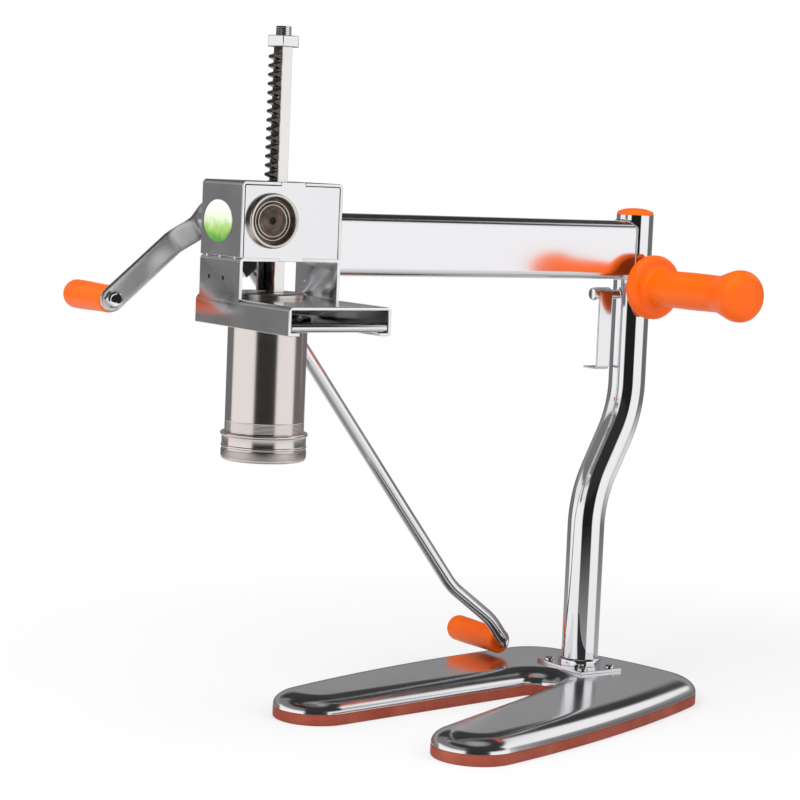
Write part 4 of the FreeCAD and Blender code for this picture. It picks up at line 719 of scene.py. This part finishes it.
cylinder_profile = soft_corners([
    (30, 222.3), (31.5, 222.3), (31.5, 246.5), (31.65, 247), (31.5, 247.5), (31.5, 328.6), (34, 328.6),
    (34, 330), (30, 330),
], (0.4, 0.4, 0.2, 0.3, 0.2, 0, 0.4, 0.5, 0.6), 3, True)
cylinder_x = -326
add_piece("dough_cylinder", [placed(lathe(cylinder_profile, 160), (cylinder_x, 0, 0))], brushed_tube,
          "drawer", ["cylinder_tube"], [(True, True)])
cylinder_thread = placed(screw_thread(31.56, 238.1, 246.6, 1.0, 0.035, 144), (cylinder_x, 0, 0))
add_piece("cylinder_thread", [cylinder_thread], brushed_tube, "drawer", (), [(True, True)])

# The plate's edge is read outwards from the cylinder's axis: in each direction it lies where the
# nearer of the side edge and the front or back edge is met.
plate_half = 42.2
plate_back = 35.25
plate_front = 106
plate_upper = 328.55
plate_lower = 325.6
mouth_radius = 31.6
corner_turns = np.arctan2([plate_back, plate_back, -plate_front, -plate_front],
                          [plate_half, -plate_half, -plate_half, plate_half])
turns = np.sort(np.concatenate([np.linspace(-math.pi, math.pi, 144, endpoint=False), corner_turns]))
toward = np.stack([np.cos(turns), np.sin(turns)], axis=-1)
ends = np.where(toward[:, 1] > 0, plate_back, plate_front)
reach = np.minimum(plate_half / np.maximum(np.abs(toward[:, 0]), 1e-9),
                   ends / np.maximum(np.abs(toward[:, 1]), 1e-9))
mouth = toward * mouth_radius
edge = toward * reach[:, None]
drawer = np.stack([np.stack([ring[:, 0] + cylinder_x, ring[:, 1], np.full(len(ring), level)], axis=-1)
                   for ring, level in ((mouth, plate_upper), (edge, plate_upper),
                                       (edge, plate_lower), (mouth, plate_lower))])
roll_radius = 3.45
roll_profile = soft_corners([
    (0, -plate_half), (roll_radius, -plate_half), (roll_radius, plate_half), (0, plate_half),
], (0, 0.8, 0.8, 0), 4)
roll = placed(lathe(roll_profile, 48), (cylinder_x, -106.5, 329.05), "x")
add_piece("rolled_drawer_plate", [drawer, roll], sheet_steel, "drawer", ["drawer_plate"],
          [(True, True), (True, False)])


# Ring and die
# The ring is turned from stainless bar, knurled round its foot and screwed on to the cylinder. It
# holds the drilled steel die against the cylinder's end.

# Stainless steel with a diamond knurl rolled into it: a grey, finely broken band. The diamonds are
# 2.2 mm across, twice the real pitch, so that they show. It reads the turn and the height about the
# cylinder's axis: 98 ridges round it lean to the left and as many to the right.
knurled_steel, tree, shader, place = start_material("knurled_steel")
centred = add_node(tree, "Mapping", [("Vector", place), ("Location", (-cylinder_x / 1000, 0, 0))])
parts = add_node(tree, "SeparateXYZ", [("Vector", centred.outputs["Vector"])])
turned = add_node(tree, "Math", [(0, parts.outputs["Y"]), (1, parts.outputs["X"])], operation="ARCTAN2")
ridges = []
ridge_count = 98.0
ridge_lean = 2900.0
around = add_node(tree, "Math", [(0, turned.outputs["Value"]), (1, ridge_count)], operation="MULTIPLY")
for lean in (ridge_lean, -ridge_lean):
    climb = add_node(tree, "Math", [(0, parts.outputs["Z"]), (1, lean), (2, around.outputs["Value"])],
                     operation="MULTIPLY_ADD")
    ridges.append(add_node(tree, "Math", [(0, climb.outputs["Value"])], operation="SINE"))
pyramid = add_node(tree, "Math", [(0, ridges[0].outputs["Value"]), (1, ridges[1].outputs["Value"])],
                   operation="MINIMUM")
bump = add_node(tree, "Bump", [("Height", pyramid.outputs["Value"]), ("Strength", 0.3),
                               ("Distance", 0.0002)])
connect(tree, shader, [("Normal", bump.outputs["Normal"]), ("Base Color", linear("#C4BDB8")),
                       ("Metallic", 1.0), ("Roughness", 0.2)])

ring_profile = soft_corners([
    (27.56, 0), (32.8, 0), (33.3, 1.6), (33.6, 8.6), (33.4, 9.3), (33.4, 9.9), (34, 10.3), (34, 11.6),
    (33.5, 12.1), (33.6, 19.2), (34.7, 19.9), (34.8, 21.2), (34.2, 22), (31.56, 22), (31.56, 3), (27.56, 3),
], (0.4, 0.8, 1, 0.3, 0.2, 0.2, 0.4, 0.4, 0.3, 0.8, 0.4, 0.6, 0.4, 0.3, 0, 0.3), 3, True)
ring_foot = (cylinder_x, 0, 216)
add_piece("turned_ring", [placed(lathe(ring_profile, 180), ring_foot)], brushed_tube, "ring",
          ["screw_ring"], [(True, True)])
knurl_profile = soft_corners([(33, 2.2), (34, 2.6), (34, 8.2), (33, 8.6)], (0, 0.4, 0.4, 0), 3)
add_piece("knurled_band", [placed(lathe(knurl_profile, 180), ring_foot)], knurled_steel, "ring", (),
          [(True, True)])
softened("die_disc", turned_steel, "ring", 0.1)


# Short crank
# A stepped arm of flat steel sits on the squared end of the shaft; a domed bolt through its end
# carries the turning handle.

# Forged flat steel under a thin chrome plate, not polished after forging: satin, with duller and
# brighter patches 25 mm across and small pits 2 mm apart.
satin_steel, tree, shader, place = start_material("satin_forging")
cloud = add_node(tree, "TexNoise", [("Vector", place), ("Scale", 40.0), ("Detail", 4.0)])
rough = add_node(tree, "MapRange", [("Value", cloud.outputs["Fac"]), ("From Min", 0.3), ("From Max", 0.7),
                                    ("To Min", 0.3), ("To Max", 0.42)])
pits = add_node(tree, "TexNoise", [("Vector", place), ("Scale", 500.0), ("Detail", 4.0)])
bump = add_node(tree, "Bump", [("Height", pits.outputs["Fac"]), ("Strength", 0.12), ("Distance", 0.0003)])
connect(tree, shader, [("Roughness", rough.outputs["Result"]), ("Normal", bump.outputs["Normal"]),
                       ("Base Color", linear("#EAEAEC")), ("Metallic", 1.0)])

# The arm's half width is a round end over the hub, a neck that narrows softly over 16 mm, and a round
# tip. The middle of its thickness steps back by 12.5 mm, 13 to 37 mm from the shaft.
crank_turn = math.radians(139)
arm_length = 105
hub_radius = 12.5
tip_radius = 10
end_flat = 0.1
arm_depth = 68
arm_step = 12.5
half_thickness = 2
quarter = np.linspace(0, math.pi / 2, 16)
arm_along = np.concatenate([-(hub_radius - end_flat) * np.cos(quarter)[:-1], np.linspace(0, arm_length, 70),
                            arm_length + (tip_radius - end_flat) * np.sin(quarter)[1:]])
past_tip = np.clip(arm_along - arm_length, 0, None)
hub_end = np.sqrt(np.clip(hub_radius ** 2 - arm_along ** 2, 0, None))
tip_end = np.sqrt(np.clip(tip_radius ** 2 - past_tip ** 2, 0, None))
neck = np.clip(arm_along / 16, 0, 1)
between = hub_radius - (hub_radius - tip_radius) * neck ** 2 * (3 - 2 * neck)
arm_half = np.select([arm_along < 0, arm_along <= arm_length], [hub_end, between], tip_end)
step = np.clip((arm_along - 13) / 24, 0, 1)
arm_middle = arm_depth + arm_step * step ** 2 * (3 - 2 * step)
arm_ring = rounded_box(2, 2, 0.5, 4)
arm_across = arm_ring[None, :, 0] * arm_half[:, None]
arm_deep = arm_ring[None, :, 1] * half_thickness + arm_middle[:, None]
arm_surface = np.stack([
    arm_along[:, None] * math.cos(crank_turn) + arm_across * math.sin(crank_turn) + shaft_x, arm_deep,
    shaft_height - arm_along[:, None] * math.sin(crank_turn) + arm_across * math.cos(crank_turn),
], axis=-1)
add_piece("crank_bent_arm", [arm_surface], satin_steel, "crank", ["crank_arm"], [(False, True)],
          [arm_surface[0], arm_surface[-1]])
softened("crank_bolt", chrome, "crank", 0.5)
crank_knob = (shaft_x + arm_length * math.cos(crank_turn), 83.0,
              shaft_height - arm_length * math.sin(crank_turn))
handle_profile = soft_corners([
    (4.06, 0), (9.4, 0), (11, 1.5), (11, 14), (11.75, 50), (11.75, 70), (0, 70), (0, 58), (4.06, 58),
], (0.3, 0.5, 1.2, 30, 40, 7.5, 0, 0, 0.5), 10)
add_piece("crank_knob", [placed(lathe(handle_profile, 96), crank_knob, "y")], orange, "crank_grip",
          ["crank_handle"], [(True, True)])


# Long lever
# A chromed steel rod is welded to a hub plate that turns on the shaft. Its end is bent aside to a
# pin, on which a second handle of orange plastic turns.

softened("lever_hub", chrome, "lever", 0.6)


def on_lever(points):
    """Points drawn along the lever, sideways and above it, turned down by 52.7 degrees about the
    shaft and moved to the shaft."""
    turn = math.radians(52.7)
    points = np.asarray(points, float)
    x, y, z = points[..., 0], points[..., 1], points[..., 2]
    return np.stack([x * math.cos(turn) + z * math.sin(turn) + shaft_x, y,
                     shaft_height - x * math.sin(turn) + z * math.cos(turn)], axis=-1)


# The rod lies 52 mm behind the press's middle. Its elbow is two bends of 16 degrees, each round
# 60 mm, that lift it by 15 mm; at its end it turns back to the pin.
rod_deep = 52
rod_lift = 15
rod_start = 53
rod_end = 477.5
rod_radius = 5.75
elbow_start = 388
elbow_turn = math.radians(16)
elbow_radius = 60
elbow_run = (elbow_radius * math.sin(elbow_turn) * 2
             + (rod_lift - 2 * elbow_radius * (1 - math.cos(elbow_turn))) / math.tan(elbow_turn))
tangent = elbow_radius * math.tan(elbow_turn / 2)
rod_line = soft_corners([
    (rod_start, rod_deep, 0), (elbow_start + tangent, rod_deep, 0),
    (elbow_start + elbow_run - tangent, rod_deep, rod_lift), (rod_end, rod_deep, rod_lift),
    (rod_end, 60, rod_lift),
], (0, elbow_radius, elbow_radius, 7.9, 0), 12)
ahead = np.gradient(rod_line, axis=0)
ahead = ahead / np.linalg.norm(ahead, axis=1, keepdims=True)
upward = np.array([0, 0, 1.0]) - ahead[:, 2:3] * ahead
upward = upward / np.linalg.norm(upward, axis=1, keepdims=True)
aside = np.cross(ahead, upward)
ring = circle(rod_radius, 40)
rod_surface = rod_line[:, None] + ring[None, :, :1] * aside[:, None] + ring[None, :, 1:] * upward[:, None]
pin_surface = placed(lathe([(0, 59.4), (5, 59.4), (5, 119), (0, 119)], 40), (rod_end, 0, rod_lift), "y")
add_piece("lever_bar", [on_lever(rod_surface), on_lever(pin_surface)], chrome, "lever", ["lever_rod"],
          [(False, True), (True, False)], [on_lever(rod_surface[0]), on_lever(rod_surface[-1])])
lever_knob = on_lever((rod_end, 60, rod_lift))
lever_profile = soft_corners([
    (5.06, 0), (9.5, 0), (10.8, 1.5), (10.8, 14), (11.5, 52), (11.5, 73), (0, 73), (0, 61), (5.06, 61),
], (0.3, 0.5, 1.2, 30, 40, 7.5, 0, 0, 0.5), 10)
add_piece("lever_knob", [placed(lathe(lever_profile, 96), lever_knob, "y")], orange, "lever_grip",
          ["lever_handle"], [(True, True)])


# Floor, backdrop and light
# A white table top keeps the soft shadow of the press, in a white studio with dark screens, which
# only the bright metal shows. Four soft boxes light the press: three from above, one low in front.

floor_radius = 6
floor_edge = circle(floor_radius, 96)
floor_mesh = bpy.data.meshes.new("floor")
floor_mesh.from_pydata([(x, y, 0) for x, y in floor_edge.tolist()], [], [list(range(len(floor_edge)))])
floor = bpy.data.objects.new("floor", floor_mesh)
bpy.context.scene.collection.objects.link(floor)
floor.visible_glossy = False

# Matt white card. It is shown a little lighter than it is lit, and plain white away from the press.
white_card = bpy.data.materials.new("white_card")
white_card.use_nodes = True
tree = white_card.node_tree
matt = tree.nodes["Principled BSDF"]
connect(tree, matt, [("Base Color", linear("#E8E8E8")), ("Roughness", 0.9), ("Specular IOR Level", 0.0)])
white = add_node(tree, "Emission", [("Color", (1, 1, 1, 1)), ("Strength", 1.0)])
spot = add_node(tree, "VectorMath", [(0, add_node(tree, "TexCoord").outputs["Object"])],
                operation="LENGTH")
fade = add_node(tree, "MapRange", [("Value", spot.outputs["Value"]), ("From Min", 0.3),
                                   ("From Max", 0.62), ("To Min", 0.55), ("To Max", 1.0)])
path = add_node(tree, "LightPath")
part = add_node(tree, "Math", [(0, path.outputs["Is Camera Ray"]), (1, fade.outputs["Result"])],
                operation="MULTIPLY")
blend = add_node(tree, "MixShader", [("Fac", part.outputs["Value"]), (1, matt.outputs["BSDF"]),
                                     (2, white.outputs["Emission"])])
tree.links.new(blend.outputs["Shader"], tree.nodes["Material Output"].inputs["Surface"])
floor_mesh.materials.append(white_card)


def shade_ramp(tree, value, stops):
    """A ramp of greys: each stop is its place on the ramp and its brightness, as in colour_stops."""
    ramp = add_node(tree, "ValToRGB", [("Fac", value)])
    colour_stops(ramp, [(place, (shade, shade, shade, 1)) for place, shade in stops])
    return ramp.outputs["Color"]


def compass_stops(bands):
    """Ramp stops from bands of (first degree, last degree, brightness) round the room, from -180
    to 180, where 0 is straight ahead of the press's front: a stop is at (degree + 180) over 360."""
    return [((degree + 180) / 360, shade) for first, last, shade in bands for degree in (first, last)]


# The studio as the metal sees it: white walls to the left and right of the camera, a black screen
# behind it, grey walls behind the press, a dark ceiling with one soft box, and the white table below.
# A colour Mix node's inputs are 0, the share of the second, and 6 and 7, the two. Its output is 2.
studio = bpy.data.worlds.new("studio")
bpy.context.scene.world = studio
studio.use_nodes = True
tree = studio.node_tree
heading = add_node(tree, "TexCoord").outputs["Generated"]
parts = add_node(tree, "SeparateXYZ", [("Vector", heading)])
ahead = add_node(tree, "Math", [(0, parts.outputs["Y"]), (1, -1.0)], operation="MULTIPLY")
compass = add_node(tree, "Math", [(0, parts.outputs["X"]), (1, ahead.outputs["Value"])],
                   operation="ARCTAN2")
around = add_node(tree, "MapRange", [("Value", compass.outputs["Value"]), ("From Min", -math.pi),
                                     ("From Max", math.pi)])
walls = shade_ramp(tree, around.outputs["Result"], compass_stops([
    (-180, -150, 0.19), (-148, -144, 0.10), (-141, -64, 1.0), (-59, -1, 0.015), (3, 58, 1.0),
    (62, 93, 0.16), (97, 180, 0.18)]))
upper_walls = shade_ramp(tree, around.outputs["Result"], compass_stops([
    (-180, -150, 0.29), (-146, -64, 0.9), (-59, -1, 0.03), (3, 58, 0.9), (62, 100, 0.24), (112, 180, 0.29)]))
soft_box = shade_ramp(tree, around.outputs["Result"], compass_stops([
    (-180, -66, 0.2), (-60, 48, 0.03), (54, 112, 0.95), (118, 180, 0.04)]))
above = add_node(tree, "MapRange", [("Value", parts.outputs["Z"]), ("From Min", 0.31), ("From Max", 0.38)])
lifted = add_node(tree, "MapRange", [("Value", parts.outputs["Z"]), ("From Min", 0.08), ("From Max", 0.16)])
standing = add_node(tree, "Mix", [(0, lifted.outputs["Result"]), (6, walls), (7, upper_walls)],
                    data_type="RGBA")
far_up = add_node(tree, "MapRange", [("Value", parts.outputs["Z"]), ("From Min", 0.68), ("From Max", 0.74)])
below = add_node(tree, "MapRange", [("Value", parts.outputs["Z"]), ("From Min", -0.15),
                                    ("From Max", -0.28)])
depth = add_node(tree, "Math", [(0, parts.outputs["Z"]), (1, -1.0)], operation="MULTIPLY")
under = shade_ramp(tree, depth.outputs["Value"], [(0.2, 0.8), (0.6, 0.7), (0.85, 0.3), (1.0, 0.12)])
overhead = shade_ramp(tree, parts.outputs["Z"], [(0.74, 0.03), (0.93, 0.03), (0.975, 0.3), (1.0, 0.36)])
boxed = add_node(tree, "Mix", [(0, far_up.outputs["Result"]), (6, soft_box), (7, overhead)],
                 data_type="RGBA")
risen = add_node(tree, "Mix", [(0, above.outputs["Result"]), (6, standing.outputs[2]),
                               (7, boxed.outputs[2])], data_type="RGBA")
whole = add_node(tree, "Mix", [(0, below.outputs["Result"]), (6, risen.outputs[2]), (7, under)],
                 data_type="RGBA")
path = add_node(tree, "LightPath")
mirrored = add_node(tree, "Mix", [(0, path.outputs["Is Glossy Ray"]), (6, (1, 1, 1, 1)),
                                  (7, whole.outputs[2])], data_type="RGBA")
bright = add_node(tree, "Math", [(0, path.outputs["Is Camera Ray"]), (1, path.outputs["Is Glossy Ray"])],
                  operation="MAXIMUM")
strength = add_node(tree, "MapRange", [("Value", bright.outputs["Value"]), ("To Min", 0.55),
                                       ("To Max", 1.0)])
room = tree.nodes["Background"]
connect(tree, room, [("Color", mirrored.outputs[2]), ("Strength", strength.outputs["Result"])])


def add_soft_box(name, azimuth, rise, distance, size, watts):
    """A square lamp that faces the middle of the press. It stands the distance away: sideways and
    forwards by the sine and cosine of its compass angle, each times the cosine of its height angle,
    and up by the sine of its height angle. The metal doesn't show it."""
    turn = math.radians(azimuth)
    lift = math.radians(rise)
    middle = Vector((-0.2, 0, 0.26))
    away = Vector((math.sin(turn) * math.cos(lift), -math.cos(turn) * math.cos(lift), math.sin(lift)))
    lamp = bpy.data.lights.new(name, "AREA")
    lamp.size = size
    lamp.energy = watts
    thing = bpy.data.objects.new(name, lamp)
    thing.location = middle + away * distance
    thing.rotation_euler = (-away).to_track_quat("-Z", "Y").to_euler()
    thing.visible_glossy = False
    bpy.context.scene.collection.objects.link(thing)


add_soft_box("key_box", -75, 38, 2.2, 1.3, 26)
add_soft_box("fill_box", 25, 30, 2.4, 1.3, 13)
add_soft_box("low_box", -40, 6, 2.4, 1.2, 6)
add_soft_box("top_box", -30, 80, 2.0, 1.5, 16)

bpy.context.scene.view_settings.view_transform = "Standard"
